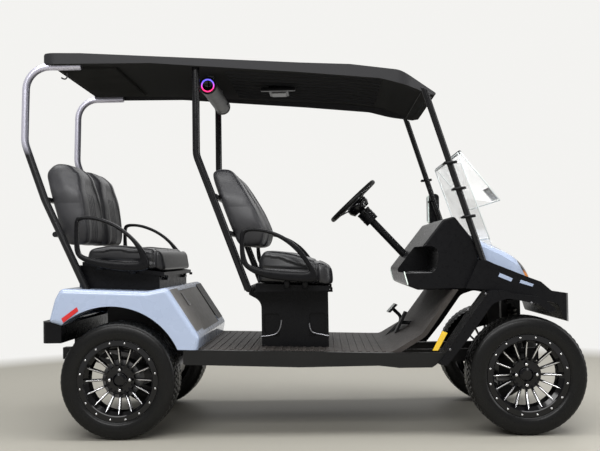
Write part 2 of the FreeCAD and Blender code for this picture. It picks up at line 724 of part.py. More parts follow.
def make_struts(rear_body_block, fascia_block):
    """Roof struts with the tubes that cross between them."""
    under_roof = across("under_roof", UNDER_ROOF_SHARES, "Sizes.half_width")
    half = size("strut_half_spacing")
    rear = tube("rear_strut_blank", "Sizes.strut_radius", side(REAR_STRUT_SHARES), side_frame(-half))
    rear_trim = cut("rear_strut_right", rear, rear_body_block)
    bars = bars_behind("rear_bar", REAR_BACK_LINE_SHARES, REAR_BAR_SHARES)
    node("rear_struts", fuse("rear_struts_fused",
                             [rear_trim, mirrored("rear_strut_left", rear_trim)] + bars))
    middle = tube("middle_strut_blank", "Sizes.strut_radius", side(MIDDLE_STRUT_SHARES),
                  side_frame(-half))
    middle_trim = common("middle_strut_right", middle, under_roof)
    foot = side(MIDDLE_STRUT_SHARES)[-1]
    bars = bars_behind("middle_bar", FRONT_BACK_LINE_SHARES, MIDDLE_BAR_SHARES)
    bars.append(cross_tube("middle_bar_foot", *foot))
    node("middle_struts", fuse("middle_struts_fused",
                               [middle_trim, mirrored("middle_strut_left", middle_trim)] + bars))
    front = tube("front_strut_blank", "Sizes.front_strut_radius", side(FRONT_STRUT_SHARES),
                 side_frame(-size("front_strut_half_spacing")))
    front_trim = common("front_strut_top", front, under_roof)
    front_cut = cut("front_strut_right", front_trim, fascia_block)
    node("front_struts", pair("front_struts_pair", front_cut))
    return under_roof, front_cut


GLASS_LOWER_SHARES = [(0.9346, 0.895), (0.851, 1.390)]
GLASS_UPPER_SHARES = [(0.8565, 1.397), (0.9535, 1.150)]
SCREEN_HINGE_SHARES = (0.8545, 1.394)
CLIP_LEVEL_SHARES = (1.06, 1.34)
CLIP_HALF_HEIGHT_SHARE = 0.022


def pane(name, shares):
    """Flat pane between two side-view points, one thickness ahead of their line."""
    (x0, z0), (x1, z1) = side(shares)
    along = Vector(x1 - x0, z1 - z0, 0)
    along.normalize()
    ahead = Vector(abs(along.y), -along.x * (1 if along.y > 0 else -1), 0) * size("glass_thick")
    corners = [(x0, z0), (x1, z1), (x1 + ahead.x, z1 + ahead.y), (x0 + ahead.x, z0 + ahead.y)]
    return prism(name, "XZ_Plane", curves(corners), "-Sizes.glass_half_width", "Sizes.glass_half_width")


def make_windshield(cowl, strut):
    """Two panes, the upper one folded down ahead of the lower, with their hinge and clips."""
    lower = cut("pane_lower_trim", pane("pane_lower", GLASS_LOWER_SHARES), cowl)
    upper = pane("pane_upper", GLASS_UPPER_SHARES)
    x, z = side([SCREEN_HINGE_SHARES])[0]
    half = size("glass_half_width")
    bead = cylinder("screen_bead", "Sizes.glass_thick * 2", Vector(x, -half, z), Vector(x, half, z))
    grip = size("front_strut_radius")
    tall = level(CLIP_HALF_HEIGHT_SHARE)
    clips = []
    for i, share in enumerate(CLIP_LEVEL_SHARES):
        z = level(share)
        x = along_line(GLASS_LOWER_SHARES, z)
        low = Vector(x - grip * 2, -size("front_strut_half_spacing"), z - tall)
        high = Vector(x + grip, -half + size("glass_thick") * 3, z + tall)
        clips.append(box("screen_clip_%d" % i, low, high))
    panes = gather("panes", [lower, upper])
    right = cut("clips_right", fuse("clips_fused", clips), strut)
    held = cut("screen_held", gather("screen_parts", [bead, right, mirrored("clips_left", right)]), panes)
    node("windshield_clips", held)
    return node("windshield", panes)


MIRROR_SHARES = [(0.8355, 1.255, 0.01), (0.8665, 1.255, 0.012), (0.8665, 1.07, 0.012),
                 (0.8355, 1.07, 0.01)]
MIRROR_LEVEL_SHARE = 1.16
MIRROR_ARM_RADIUS = 8
MIRROR_ARM_REACH = 40
MIRROR_OFFSET = 30
MIRROR_WIDTH = 88


def make_mirror():
    """Rectangular side mirror on a short arm from the left front strut."""
    spacing = size("front_strut_half_spacing")
    head = prism("mirror_head", "XZ_Plane", curves(side(MIRROR_SHARES)),
                 "Sizes.front_strut_half_spacing + %s" % MIRROR_OFFSET,
                 "Sizes.front_strut_half_spacing + %s" % (MIRROR_OFFSET + MIRROR_WIDTH))
    z = level(MIRROR_LEVEL_SHARE)
    x = along_line(FRONT_STRUT_SHARES, z)
    arm = cylinder("mirror_arm", str(MIRROR_ARM_RADIUS),
                   Vector(x, spacing + size("front_strut_radius") + GAP, z),
                   Vector(x, spacing + MIRROR_ARM_REACH, z))
    return node("side_mirror", fuse("mirror_fused", [head, arm]))


SOUND_BAR_SHARES = (0.2135, 1.786)
SOUND_POST_SHARES = ((0.206, 1.786), (0.221, 1.862))
SOUND_POST_WIDTH = 40
SOUND_POST_PLACE_SHARE = 0.6
SOUND_RING_WIDTH = 20
SOUND_DRUM_SHARE = 0.93


def make_sound_bar(under_roof):
    """Drum with a ring at each end, on two posts from the ceiling."""
    half = size("sound_bar_half_length")
    x, z = side([SOUND_BAR_SHARES])[0]
    bits = [cylinder("sound_drum", "Sizes.sound_bar_radius * %s" % SOUND_DRUM_SHARE,
                     Vector(x, -half, z), Vector(x, half, z))]
    for i, hand in enumerate((-1, 1)):
        bits.append(cylinder("sound_ring_%d" % i, "Sizes.sound_bar_radius", Vector(x, hand * half, z),
                             Vector(x, hand * (half - SOUND_RING_WIDTH), z)))
        y = hand * half * SOUND_POST_PLACE_SHARE
        bits.append(side_box("sound_post_%d" % i, SOUND_POST_SHARES, y - SOUND_POST_WIDTH / 2,
                             y + SOUND_POST_WIDTH / 2))
    return node("sound_bar", common("sound_bar_trim", fuse("sound_fused", bits), under_roof))


# Seats

def hinge_spans():
    """Widths of a seat hinge's moving barrels and of the fixed ones beside them."""
    half, y = size("seat_hinge_width") / 2, size("seat_hinge_y")
    moving, fixed = [], []
    for middle in (-y, y):
        moving.append((middle - half, middle + half))
        fixed.append((middle - half * 2, middle - half - GAP))
        fixed.append((middle + half + GAP, middle + half * 2))
    return moving, fixed


def barrels(name, radius, axis_shares, spans):
    """Cylinders on a seat's hinge axis, one for each span across the cart."""
    x, z = side([axis_shares])[0]
    return [cylinder("%s_%d" % (name, i), radius, Vector(x, low, z), Vector(x, high, z))
            for i, (low, high) in enumerate(spans)]


def fixed_hinge(name, carrier, axis_shares, boxes_shares):
    """A seat's fixed half hinge on its carrier: feet, barrels and the two pins."""
    moving, fixed = hinge_spans()
    bits = [carrier] + barrels(name + "_barrel", "Sizes.seat_hinge_radius", axis_shares, fixed)
    width = size("seat_hinge_width")
    pins = [(low - width / 2, high + width / 2) for low, high in moving]
    bits += barrels(name + "_pin", "Sizes.seat_pin_radius", axis_shares, pins)
    for i, shares in enumerate(boxes_shares):
        bits += [side_box("%s_foot_%d_%d" % (name, i, k), shares, *span) for k, span in enumerate(fixed)]
    return fuse(name, bits)


def moving_hinge(name, pan, axis_shares, tongue_shares):
    """A seat pan with its half of the hinge, bored for the pins."""
    moving = hinge_spans()[0]
    bits = [pan] + barrels(name + "_barrel", "Sizes.seat_hinge_radius", axis_shares, moving)
    bits += [side_box("%s_tongue_%d" % (name, i), tongue_shares, *span) for i, span in enumerate(moving)]
    bores = gather(name + "_bores", barrels(name + "_bore", "Sizes.seat_pin_radius + Sizes.running_gap",
                                            axis_shares, moving))
    return cut(name, fuse(name + "_fused", bits), bores)


FRONT_AXIS_SHARES = (0.5275, 0.715)
REAR_AXIS_SHARES = (0.0975, 0.7793)
FRONT_FOOT_SHARES = [((0.513, 0.697), (0.531, 0.7075)), ((0.5245, 0.7075), (0.5305, 0.715))]
FRONT_TONGUE_SHARES = ((0.5205, 0.7117), (0.5275, 0.7217))
REAR_FOOT_SHARES = [((0.0875, 0.7733), (0.0975, 0.7853))]
REAR_TONGUE_SHARES = ((0.094, 0.7793), (0.101, 0.8025))
PEDESTAL_SHARES = [(0.519, 0.708, 0.004), (0.3135, 0.708, 0.004), (0.3135, 0.690, 0.004),
                   (0.3455, 0.655, 0.03)]
PEDESTAL_FOOT_SHARES = (0.3455, 0.519)
PEDESTAL_HALF_SHARE = 0.75
FLUTE_SHARES = [[(0.351, 0.591, 0.008), (0.351, 0.485, 0.02), (0.392, 0.467, 0.006), (0.392, 0.591, 0.008)],
                [(0.4685, 0.591, 0.008), (0.4685, 0.467, 0.006), (0.512, 0.485, 0.02), (0.512, 0.591, 0.008)]]
FLUTE_DEPTH_SHARE = 0.028


def make_front_pedestal():
    """Moulded box under the front seat, with two flutes in each side."""
    feet = [(station(share), floor_level(share)) for share in PEDESTAL_FOOT_SHARES]
    half = "Sizes.seat_half_width * %s" % PEDESTAL_HALF_SHARE
    block = prism("pedestal", "XZ_Plane", curves(side(PEDESTAL_SHARES) + feet), "-" + half, half)
    deep = "Sizes.seat_half_width * %s" % (PEDESTAL_HALF_SHARE - FLUTE_DEPTH_SHARE)
    flutes = []
    for i, shares in enumerate(FLUTE_SHARES):
        flute = prism("flute_%d" % i, "XZ_Plane", curves(side(shares)),
                      "-Sizes.seat_half_width", "-" + deep)
        flutes += [flute, mirrored("flute_left_%d" % i, flute)]
    fluted = cut("pedestal_fluted", block, gather("flutes", flutes))
    return node("front_pedestal", fixed_hinge("front_hinge", fluted, FRONT_AXIS_SHARES, FRONT_FOOT_SHARES))


FRONT_BACK_SHARES = [(0.218, 1.326, 0.012), (0.234, 1.351, 0.012), (0.2675, 1.345, 0.02),
                     (0.300, 1.25, 0.05), (0.335, 1.13, 0.06), (0.361, 1.01, 0.05), (0.350, 0.93, 0.012),
                     (0.2955, 0.93, 0.012)]
REAR_BACK_SHARES = [(-0.2115, 1.345, 0.012), (-0.19, 1.398, 0.014), (-0.1525, 1.388, 0.02),
                    (-0.125, 1.336, 0.02), (-0.1085, 1.19, 0.08), (-0.0985, 1.03, 0.05),
                    (-0.1000, 0.955, 0.012), (-0.163, 0.955, 0.012)]
BACK_HALF_SHARE = 0.96
BACK_FRONT_SHARES = [(-0.86, 0, 0.2), (-1.0, 0.30, 0.8), (-0.94, 0.62, 0.8), (-0.72, 0.82, 0.5),
                     (-0.62, 1.0, 0.26), (0.62, 1.0, 0.26), (0.72, 0.82, 0.5), (0.94, 0.62, 0.8),
                     (1.0, 0.30, 0.8), (0.86, 0, 0.2)]


def make_backs(name, shares, line_shares):
    """Two bucket-shaped seat backs of one row, flat behind, on either side of the centre plane."""
    outer = size("seat_half_width") * BACK_HALF_SHARE
    inner = size("back_half_gap")
    low, high = [level(pick(entry[1] for entry in shares)) for pick in (min, max)]
    middle, half = (outer + inner) / 2, (outer - inner) / 2
    front = [(half * y - middle, low + (high - low) * z, half * mark) for y, z, mark in BACK_FRONT_SHARES]
    profile = prism(name + "_side", "XZ_Plane", curves(side(shares)), "-%s" % outer, "-%s" % inner)
    bucket = prism(name + "_front", "YZ_Plane", curves(front), str(station(-1)), str(station(1)))
    (x0, z0), (x1, z1) = side(line_shares)
    rise = (x0 - x1, z0 - z1)
    behind = [(x0 + rise[0], z0 + rise[1]), (x1 - rise[0], z1 - rise[1]), (station(-1), z1 - rise[1]),
              (station(-1), z0 + rise[1])]
    space = prism(name + "_rear_space", "XZ_Plane", curves(behind), "-Sizes.half_width", "Sizes.half_width")
    form = common(name + "_form", profile, bucket)
    return node(name, pair(name + "_pair", cut(name + "_trim", form, space)))


FRONT_CUSHION_SHARES = [(0.3355, 0.7510, 0.008), (0.3365, 0.860, 0.02), (0.3525, 0.918, 0.012),
                        (0.4245, 0.900, 0.05), (0.4945, 0.856, 0.03), (0.5375, 0.828, 0.012),
                        (0.5355, 0.736, 0.015), (0.52, 0.7337, 0.004)]
FRONT_PAN_SHARES = [(0.3355, 0.7083), (0.5225, 0.7083), (0.5225, 0.7322), (0.3355, 0.7497)]
REAR_CUSHION_SHARES = [(-0.105, 0.8745, 0.008), (-0.094, 0.938, 0.015), (-0.0215, 0.950, 0.1),
                       (0.035, 0.940, 0.05), (0.099, 0.930, 0.02), (0.1065, 0.832, 0.02),
                       (0.1035, 0.8152, 0.001)]
REAR_PAN_SHARES = [(-0.105, 0.8553), (0.1035, 0.796), (0.1035, 0.8149), (-0.105, 0.8742)]
REAR_BASE_SHARES = [(-0.1145, 0.8575), (-0.1145, 0.7435), (0.069, 0.7235), (0.0905, 0.7235),
                    (0.0905, 0.7992)]
CUSHION_CORNER_SHARES = (0.02, 0.035)
CUSHION_REACH_SHARES = (0.6, 1.1)
REAR_BASE_HALF_SHARE = 0.97


def make_seat(name, cushion_shares, pan_shares, axis_shares, tongue_shares):
    """Bench cushion with rounded plan corners, and its pan with the moving hinge halves."""
    rear, front = [pick(entry[0] for entry in cushion_shares) for pick in (min, max)]
    small, large = CUSHION_CORNER_SHARES
    outline = [(rear, -1, small), (front, -1, large), (front, 1, large), (rear, 1, small)]
    form = across(name + "_cushion_side", cushion_shares, "Sizes.seat_half_width")
    bounds = upright(name + "_cushion_plan", outline, size("seat_half_width"), CUSHION_REACH_SHARES)
    node(name + "_seat_cushion", common(name + "_cushion_form", form, bounds))
    pan = across(name + "_pan_plate", pan_shares, "Sizes.seat_half_width")
    node(name + "_seat_pan", moving_hinge(name + "_pan", pan, axis_shares, tongue_shares))


def make_rear_base(body_block):
    blank = across("rear_base_blank", REAR_BASE_SHARES, "Sizes.seat_half_width * %s" % REAR_BASE_HALF_SHARE)
    trimmed = cut("rear_base_cut", blank, body_block)
    return node("rear_seat_base", fixed_hinge("rear_hinge", trimmed, REAR_AXIS_SHARES, REAR_FOOT_SHARES))


FRONT_REST_SHARES = [(0.2985, 1.020, 0.016), (0.3225, 1.047, 0.02), (0.4195, 0.987, 0.08),
                     (0.4755, 0.892, 0.06), (0.4870, 0.742, 0.025), (0.38, 0.732, 0.03),
                     (0.3045, 0.855, 0.04)]
FRONT_HOLE_SHARES = [(0.3125, 0.995, 0.012), (0.3325, 1.015, 0.014), (0.408, 0.967, 0.07),
                     (0.4575, 0.880, 0.05), (0.4660, 0.790, 0.012), (0.395, 0.785, 0.03),
                     (0.3235, 0.868, 0.04)]
REAR_REST_SHARES = [(-0.1245, 1.106, 0.014), (-0.0935, 1.122, 0.02), (0.0225, 1.015, 0.06),
                    (0.070, 0.874, 0.03), (0.070, 0.776, 0.02), (-0.078, 0.815, 0.05),
                    (-0.1275, 0.926, 0.03)]
REAR_HOLE_SHARES = [(-0.109, 1.080, 0.012), (-0.087, 1.091, 0.012), (0.008, 0.997, 0.05),
                    (0.0495, 0.868, 0.018), (0.0495, 0.828, 0.008), (-0.067, 0.862, 0.03),
                    (-0.108, 0.932, 0.03)]
FRONT_TAB_SHARES = [((0.41, 0.722), (0.423, 0.752)), ((0.455, 0.722), (0.468, 0.752))]
REAR_TAB_SHARES = [((-0.06, 0.842), (-0.047, 0.857)), ((0.0225, 0.815), (0.0355, 0.832))]
TAB_WIDTH_SHARE = 0.2


def rest_end(bounds):
    """True for an edge that lies in a plane across the cart."""
    return bounds.YLength < GAP


def make_rests(name, outer_shares, hole_shares, tabs):
    """Hip restraints beside a bench: rounded loops on tabs from its pan."""
    outline = curves(side(outer_shares)) + curves(side(hole_shares))
    loop = prism(name + "_loop", "XZ_Plane", outline, "-Sizes.armrest_y - Sizes.armrest_width / 2",
                 "-Sizes.armrest_y + Sizes.armrest_width / 2")
    bits = [rounded(loop, "Sizes.armrest_round", rest_end)]
    reach = size("armrest_y") + size("armrest_width") * TAB_WIDTH_SHARE
    bits += [side_box("%s_tab_%d" % (name, i), shares, -reach, -size("seat_half_width"))
             for i, shares in enumerate(tabs)]
    return node(name, pair(name + "_pair", fuse(name + "_right", bits)))


# Steering

WHEEL_CENTRE_SHARES = (0.5975, 1.203)
COLUMN_DROP = 42.7
COLUMN_START = 70
COLUMN_LENGTH = 400
COLLAR_SHARE = 1.9
COLLAR_START = 12
COLLAR_END = 95
HUB_FOOT_RADIUS = 26
HUB_TOP_RADIUS = 58
HUB_RISE = 46
SPOKE_COUNT = 3
SPOKE_HALF_WIDTH = 16
SPOKE_THICK = 7


def column_frame(along=0.0):
    """Placement on the column's axis, its own z pointing up towards the driver."""
    x, z = side([WHEEL_CENTRE_SHARES])[0]
    slope = math.radians(COLUMN_DROP)
    up = Vector(-math.sin(slope), 0, math.cos(slope))
    base = Vector(x, size("steering_y"), z) - up * along
    return Placement(base, Rotation(Vector(0, 1, 0), Vector(0, 0, 0), up, "ZXY"))


def make_steering_wheel():
    """Grip ring with three flat spokes that fall to a flared hub."""
    ring = doc.addObject("Part::Torus", "wheel_ring")
    ring.setExpression("Radius1", "Sizes.wheel_rim_radius")
    ring.setExpression("Radius2", "Sizes.wheel_grip_radius")
    hub = doc.addObject("Part::Cone", "wheel_hub")
    hub.Radius1 = HUB_FOOT_RADIUS
    hub.Radius2 = HUB_TOP_RADIUS
    hub.Height = HUB_RISE
    hub.Placement = Placement(Vector(0, 0, GAP - COLUMN_START), Rotation())
    top = HUB_RISE + GAP - COLUMN_START
    reach = size("wheel_rim_radius")
    profile = [(0, top), (HUB_TOP_RADIUS, top), (reach, SPOKE_THICK / 2), (reach, -SPOKE_THICK / 2),
               (HUB_TOP_RADIUS, top - SPOKE_THICK), (0, top - SPOKE_THICK)]
    spokes = []
    for i in range(SPOKE_COUNT):
        spoke = prism("wheel_spoke_%d" % i, "XZ_Plane", curves(profile), str(-SPOKE_HALF_WIDTH),
                      str(SPOKE_HALF_WIDTH))
        spoke.Placement = Placement(Vector(), Rotation(Vector(0, 0, 1), 90 + 360 * i / SPOKE_COUNT))
        spokes.append(spoke)
    wheel = fuse("steering_wheel_fused", [ring, hub] + spokes)
    wheel.Placement = column_frame()
    return node("steering_wheel", wheel)


def make_column(dash):
    """Column tube with the collar that carries its switches."""
    foot = column_frame(COLUMN_START + COLUMN_LENGTH).Base
    shaft = cylinder("column_tube", "Sizes.column_radius", foot, column_frame(COLUMN_START).Base)
    collar = cylinder("column_collar", "Sizes.column_radius * %s" % COLLAR_SHARE,
                      column_frame(COLUMN_START + COLLAR_END).Base,
                      column_frame(COLUMN_START + COLLAR_START).Base)
    return node("steering_column", cut("column_cut", fuse("column_fused", [shaft, collar]), dash))


PEDAL_SHARES = [(0.691, 0.5545), (0.698, 0.551), (0.7195, 0.596), (0.7125, 0.600)]
ACCELERATOR_SHARES = [(0.705, 0.445), (0.711, 0.440), (0.742, 0.560), (0.735, 0.563)]
PEDAL_ARM_SHARES = [(0.7060, 0.574), (0.738, 0.512, 0.02), (0.6825, 0.402)]
ACCELERATOR_ARM_SHARES = [(0.722, 0.50), (0.758, 0.50)]
PEDAL_ARM_RADIUS = 10
PEDAL_INNER = 70
PEDAL_OUTER = 40
PEDAL_ARM_OFFSET = 15
TREADLE_REACH = (190, 110)


def make_pedals(floor):
    """Brake and accelerator pedals on arms from the floor."""
    y = size("steering_y")
    pad = prism("brake_pad", "XZ_Plane", curves(side(PEDAL_SHARES)),
                "Sizes.steering_y - %s" % PEDAL_INNER, "Sizes.steering_y + %s" % PEDAL_OUTER)
    arm = tube("brake_arm", str(PEDAL_ARM_RADIUS), side(PEDAL_ARM_SHARES), side_frame(y - PEDAL_ARM_OFFSET))
    low, high = ["Sizes.steering_y - %s" % reach for reach in TREADLE_REACH]
    treadle = prism("accelerator_pad", "XZ_Plane", curves(side(ACCELERATOR_SHARES)), low, high)
    middle = y - sum(TREADLE_REACH) / 2
    rear, front = [Vector(x, middle, z) for x, z in side(ACCELERATOR_ARM_SHARES)]
    link = cylinder("accelerator_arm", str(PEDAL_ARM_RADIUS), rear, front)
    trimmed = [cut("brake_cut", fuse("brake_fused", [pad, arm]), floor),
               cut("accelerator_cut", fuse("accelerator_fused", [treadle, link]), floor)]
    return node("pedals", gather("pedals_pair", trimmed))


# Running gear

FLANGE_THICK = 8
RING_THICK = 11
BARREL_WELL = 20
SPOKES = 16
NUTS = 4
NUT_HEIGHT = 15
CAP_RADIUS = 33
CAP_DEPTH = 25
TYRE_SIDES = 44
CAP_EDGE_SHARE = 0.7
SPOKE_FRONT_SHARES = [(0.0, 0.0), (0.30, 0.48, "via"), (0.90, 1.0)]
SPOKE_REAR_SHARES = [(0.45, 1.0), (-0.10, 0.55, "via"), (-0.26, 0.0)]
TYRE_SHARES = [(1.0, 0.40), (0.955, 0.78), (0.77, 0.95), (0.0, 1.0)]


def wheel_places():
    front, rear = station(1), station(0)
    return [("front_left", front, 1), ("front_right", front, -1),
            ("rear_left", rear, 1), ("rear_right", rear, -1)]


def set_place(item, x):
    item.setExpression("Placement.Base.x", str(x))
    item.setExpression("Placement.Base.z", "Sizes.tyre_radius")


def rim_marks():
    """Y of the outer lip, inner lip and hub face of a wheel."""
    middle = size("half_width") - size("tyre_width") / 2
    outer = middle + size("rim_width") / 2
    inner = middle - size("rim_width") / 2
    return outer, inner, outer - size("dish_depth")


def make_rim(corner_name, x, hand):
    """Dished alloy rim: barrel, sixteen raked spokes, hub disc, cap and wheel nuts."""
    outer, inner, face = rim_marks()
    lip, seat, ring = size("rim_radius"), size("bead_radius"), size("rim_ring_radius")
    wall, well = size("barrel_wall"), size("bead_radius") - BARREL_WELL
    t = FLANGE_THICK
    barrel = [(outer - t / 2, lip), (outer - t, lip), (outer - t, seat), (outer - t * 6, seat),
              (outer - t * 7, well), (inner + t * 9, well), (inner + t * 7, seat), (inner + t, seat),
              (inner + t, lip), (inner, lip), (inner, seat - wall), (inner + t * 7, seat - wall),
              (inner + t * 9, well - wall), (outer - t * 7, well - wall), (outer - t * 5.5, seat - wall),
              (outer - RING_THICK, seat - wall), (outer - RING_THICK, ring), (outer - t / 2, ring),
              (outer, ring + t / 2), (outer, lip - t / 2)]
    thick = size("hub_thick")
    hub = size("hub_radius")
    bore = size("spindle_radius") + GAP
    disc = [(face, bore), (face, hub - t / 2), (face - t / 2, hub), (face - thick, hub), (face - thick, bore)]
    depth, root, tip = size("dish_depth"), hub - t * 2, seat - wall / 2
    spoke = [(face + depth * p[0], root + (tip - root) * p[1]) + tuple(p[2:])
             for p in SPOKE_FRONT_SHARES + SPOKE_REAR_SHARES]
    cap = [(face, 0), (face + CAP_DEPTH, 0), (face + CAP_DEPTH, CAP_RADIUS * CAP_EDGE_SHARE),
           (face + CAP_DEPTH * CAP_EDGE_SHARE, CAP_RADIUS), (face, CAP_RADIUS)]
    name = "rim_" + corner_name
    body = doc.addObject("PartDesign::Body", name + "_body")

    def handed(points):
        return [(hand * p[0],) + tuple(p[1:]) for p in points]

    axis = turned(body, name + "_barrel", handed(barrel))
    pad = padded(body, name + "_spoke", "YZ_Plane", curves(handed(spoke)),
                 "-Sizes.spoke_width / 2", "Sizes.spoke_width / 2")
    ringed(body, name + "_spokes", pad, axis, SPOKES)
    turned(body, name + "_disc", handed(disc))
    ends = sorted((hand * (face - t / 2), hand * (face + NUT_HEIGHT)))
    nut = [Part.Circle(Vector(size("lug_circle_radius"), 0, 0), Vector(0, 0, 1), size("lug_radius"))]
    pad = padded(body, name + "_nut", "XZ_Plane", nut, str(ends[0]), str(ends[1]))
    ringed(body, name + "_nuts", pad, axis, NUTS)
    turned(body, name + "_cap", handed(cap))
    set_place(body, x)
    return node(name, body)


def tyre_ring(name, y, radius):
    """Many-sided ring of a tyre's surface, square to the axle."""
    ring = doc.addObject("Part::RegularPolygon", name)
    ring.Polygon = TYRE_SIDES
    ring.Circumradius = radius
    ring.Placement = Placement(Vector(0, y, 0), Rotation(Vector(1, 0, 0), 90))
    return ring


def make_tyre(corner_name, x, hand):
    """Tyre in flat facets round a bore that clears the rim's bead seat."""
    outer = rim_marks()[0]
    half = size("tyre_width") / 2
    middle = size("half_width") - half
    flange = outer - FLANGE_THICK - GAP
    rise = size("rim_radius") + GAP * 10
    right = [(flange, rise)] + [(middle + half * y, rise + (size("tyre_radius") - rise) * r)
                                for y, r in TYRE_SHARES]
    left = [(2 * middle - y, r) for y, r in reversed(right[:-1])]
    name = "tyre_" + corner_name
    rings = [tyre_ring("%s_ring_%d" % (name, i), hand * y, r) for i, (y, r) in enumerate(right + left)]
    form = doc.addObject("Part::Loft", name + "_form")
    form.Sections = rings
    form.Solid = True
    form.Ruled = True
    bore = doc.addObject("Part::Prism", name + "_bore")
    bore.Polygon = TYRE_SIDES
    bore.Circumradius = (size("bead_radius") + GAP) / math.cos(math.pi / TYRE_SIDES)
    bore.Height = size("tyre_width") + OVER * 2
    bore.Placement = Placement(Vector(0, hand * middle + bore.Height.Value / 2, 0),
                               Rotation(Vector(1, 0, 0), 90))
    tyre = cut(name + "_cut", form, bore)
    set_place(tyre, x)
    return node(name, tyre)


KNUCKLE_HALF_HEIGHT = 50
KNUCKLE_RADIUS = 24
HUB_FLANGE_SHARE = 2.2
ARM_REACH_SHARE = 0.052
ARM_THICK = 16
ARM_WIDTH = 32
ARM_INSET = 2
ARM_DROP = 42
TIE_ROD_DROP = 60
TIE_ROD_INSET = 18
EYE_HALF_HEIGHT = 12
ROD_SHARE = 0.7
HOUSING_SHARE = 1.8
HOUSING_REACH_SHARES = (0.55, 0.5)
BRIDGE_DEPTH = (14, 20)
MEMBER_HALF_LENGTH = 70
MEMBER_THICK = 24
UPPER_HALF_LENGTH = 60
UPPER_THICK = 20
ARM_END = 32
COIL_Y_OFFSET = 28
COIL_TOP_SHARE = 0.62
COIL_SEAT_THICK = 20
COIL_SEAT_REACH = 28
COIL_WAIST_SHARE = 0.78
COIL_CREST_SHARE = 0.495


def kingpin_y():
    return size("half_width") - size("kingpin_inset")


def make_knuckle(hand_name, hand):
    """Kingpin barrel, spindle, hub and steering arm of one front wheel."""
    x, z, y = station(1), size("tyre_radius"), kingpin_y()
    outer, inner, face = rim_marks()
    name = "knuckle_" + hand_name
    rise = Vector(0, 0, KNUCKLE_HALF_HEIGHT)
    centre = Vector(x, hand * y, z)
    pivot = cylinder(name + "_barrel", str(KNUCKLE_RADIUS), centre - rise, centre + rise)
    spindle = cylinder(name + "_spindle", "Sizes.spindle_radius", centre, Vector(x, hand * (face - GAP), z))
    hub = cylinder(name + "_hub", "Sizes.spindle_radius * %s" % HUB_FLANGE_SHARE,
                   Vector(x, hand * (y + KNUCKLE_RADIUS), z),
                   Vector(x, hand * (face - size("hub_thick") - GAP), z))
    sides = sorted((hand * (y - ARM_INSET - ARM_WIDTH), hand * (y - ARM_INSET)))
    arm = box(name + "_arm", Vector(x - WHEELBASE * ARM_REACH_SHARE - ARM_THICK, sides[0], z - ARM_DROP),
              Vector(x, sides[1], z - ARM_DROP + ARM_THICK))
    return node(name, fuse(name + "_fused", [pivot, spindle, hub, arm]))


def make_rack():
    """Steering rack with its tie rods, sliding across the cart."""
    x = station(1) - WHEELBASE * ARM_REACH_SHARE
    y = kingpin_y() - TIE_ROD_INSET
    z = size("tyre_radius") - TIE_ROD_DROP
    bits = [cylinder("rack_rod", "Sizes.cross_radius * %s" % ROD_SHARE, Vector(x, -y, z), Vector(x, y, z))]
    bits += [cylinder("rack_eye_%d" % i, "Sizes.cross_radius", Vector(x, hand * y, z - EYE_HALF_HEIGHT),
                      Vector(x, hand * y, z + EYE_HALF_HEIGHT)) for i, hand in enumerate((-1, 1))]
    return node("steering_rack", fuse("rack_fused", bits))


def wishbone(name, root, half_length, foot, thick, hand):
    """Flat arm that widens from the kingpin to its root."""
    x, y = station(1), kingpin_y()
    points = [(x - half_length, hand * root), (x - ARM_END, hand * y), (x, hand * (y + ARM_END), "via"),
              (x + ARM_END, hand * y), (x + half_length, hand * root)]
    return prism(name, "XY_Plane", curves(points), str(foot), str(foot + thick))


def make_coil(tag, hand, foot):
    """Damper in a coil spring, and the bracket that carries it beside the frame's tower."""
    x, y, top = station(1), hand * (rail_outer() + COIL_Y_OFFSET), level(COIL_TOP_SHARE)
    damper = cylinder("damper_" + tag, "Sizes.damper_radius", Vector(x, y, foot), Vector(x, y, top))
    body = doc.addObject("PartDesign::Body", "coil_" + tag)
    pitch, wide = size("coil_pitch"), size("coil_radius")
    turns = int((top - foot) / pitch)
    outline = [(0, size("damper_radius") / 2)]
    for i in range(turns):
        outline += [(i * pitch, wide * COIL_WAIST_SHARE), ((i + COIL_CREST_SHARE) * pitch, wide)]
    outline += [(turns * pitch, wide * COIL_WAIST_SHARE), (turns * pitch, size("damper_radius") / 2)]
    turned(body, "coil_%s_form" % tag, outline)
    body.Placement = Placement(Vector(x, y, foot), Rotation(Vector(1, 0, 0), 90))
    sides = sorted((hand * rail_outer(), hand * (rail_outer() + COIL_SEAT_REACH * 2)))
    bracket = box("coil_bracket_" + tag, Vector(x - COIL_SEAT_REACH, sides[0], top),
                  Vector(x + COIL_SEAT_REACH, sides[1], top + COIL_SEAT_THICK))
    return [damper, body, bracket]


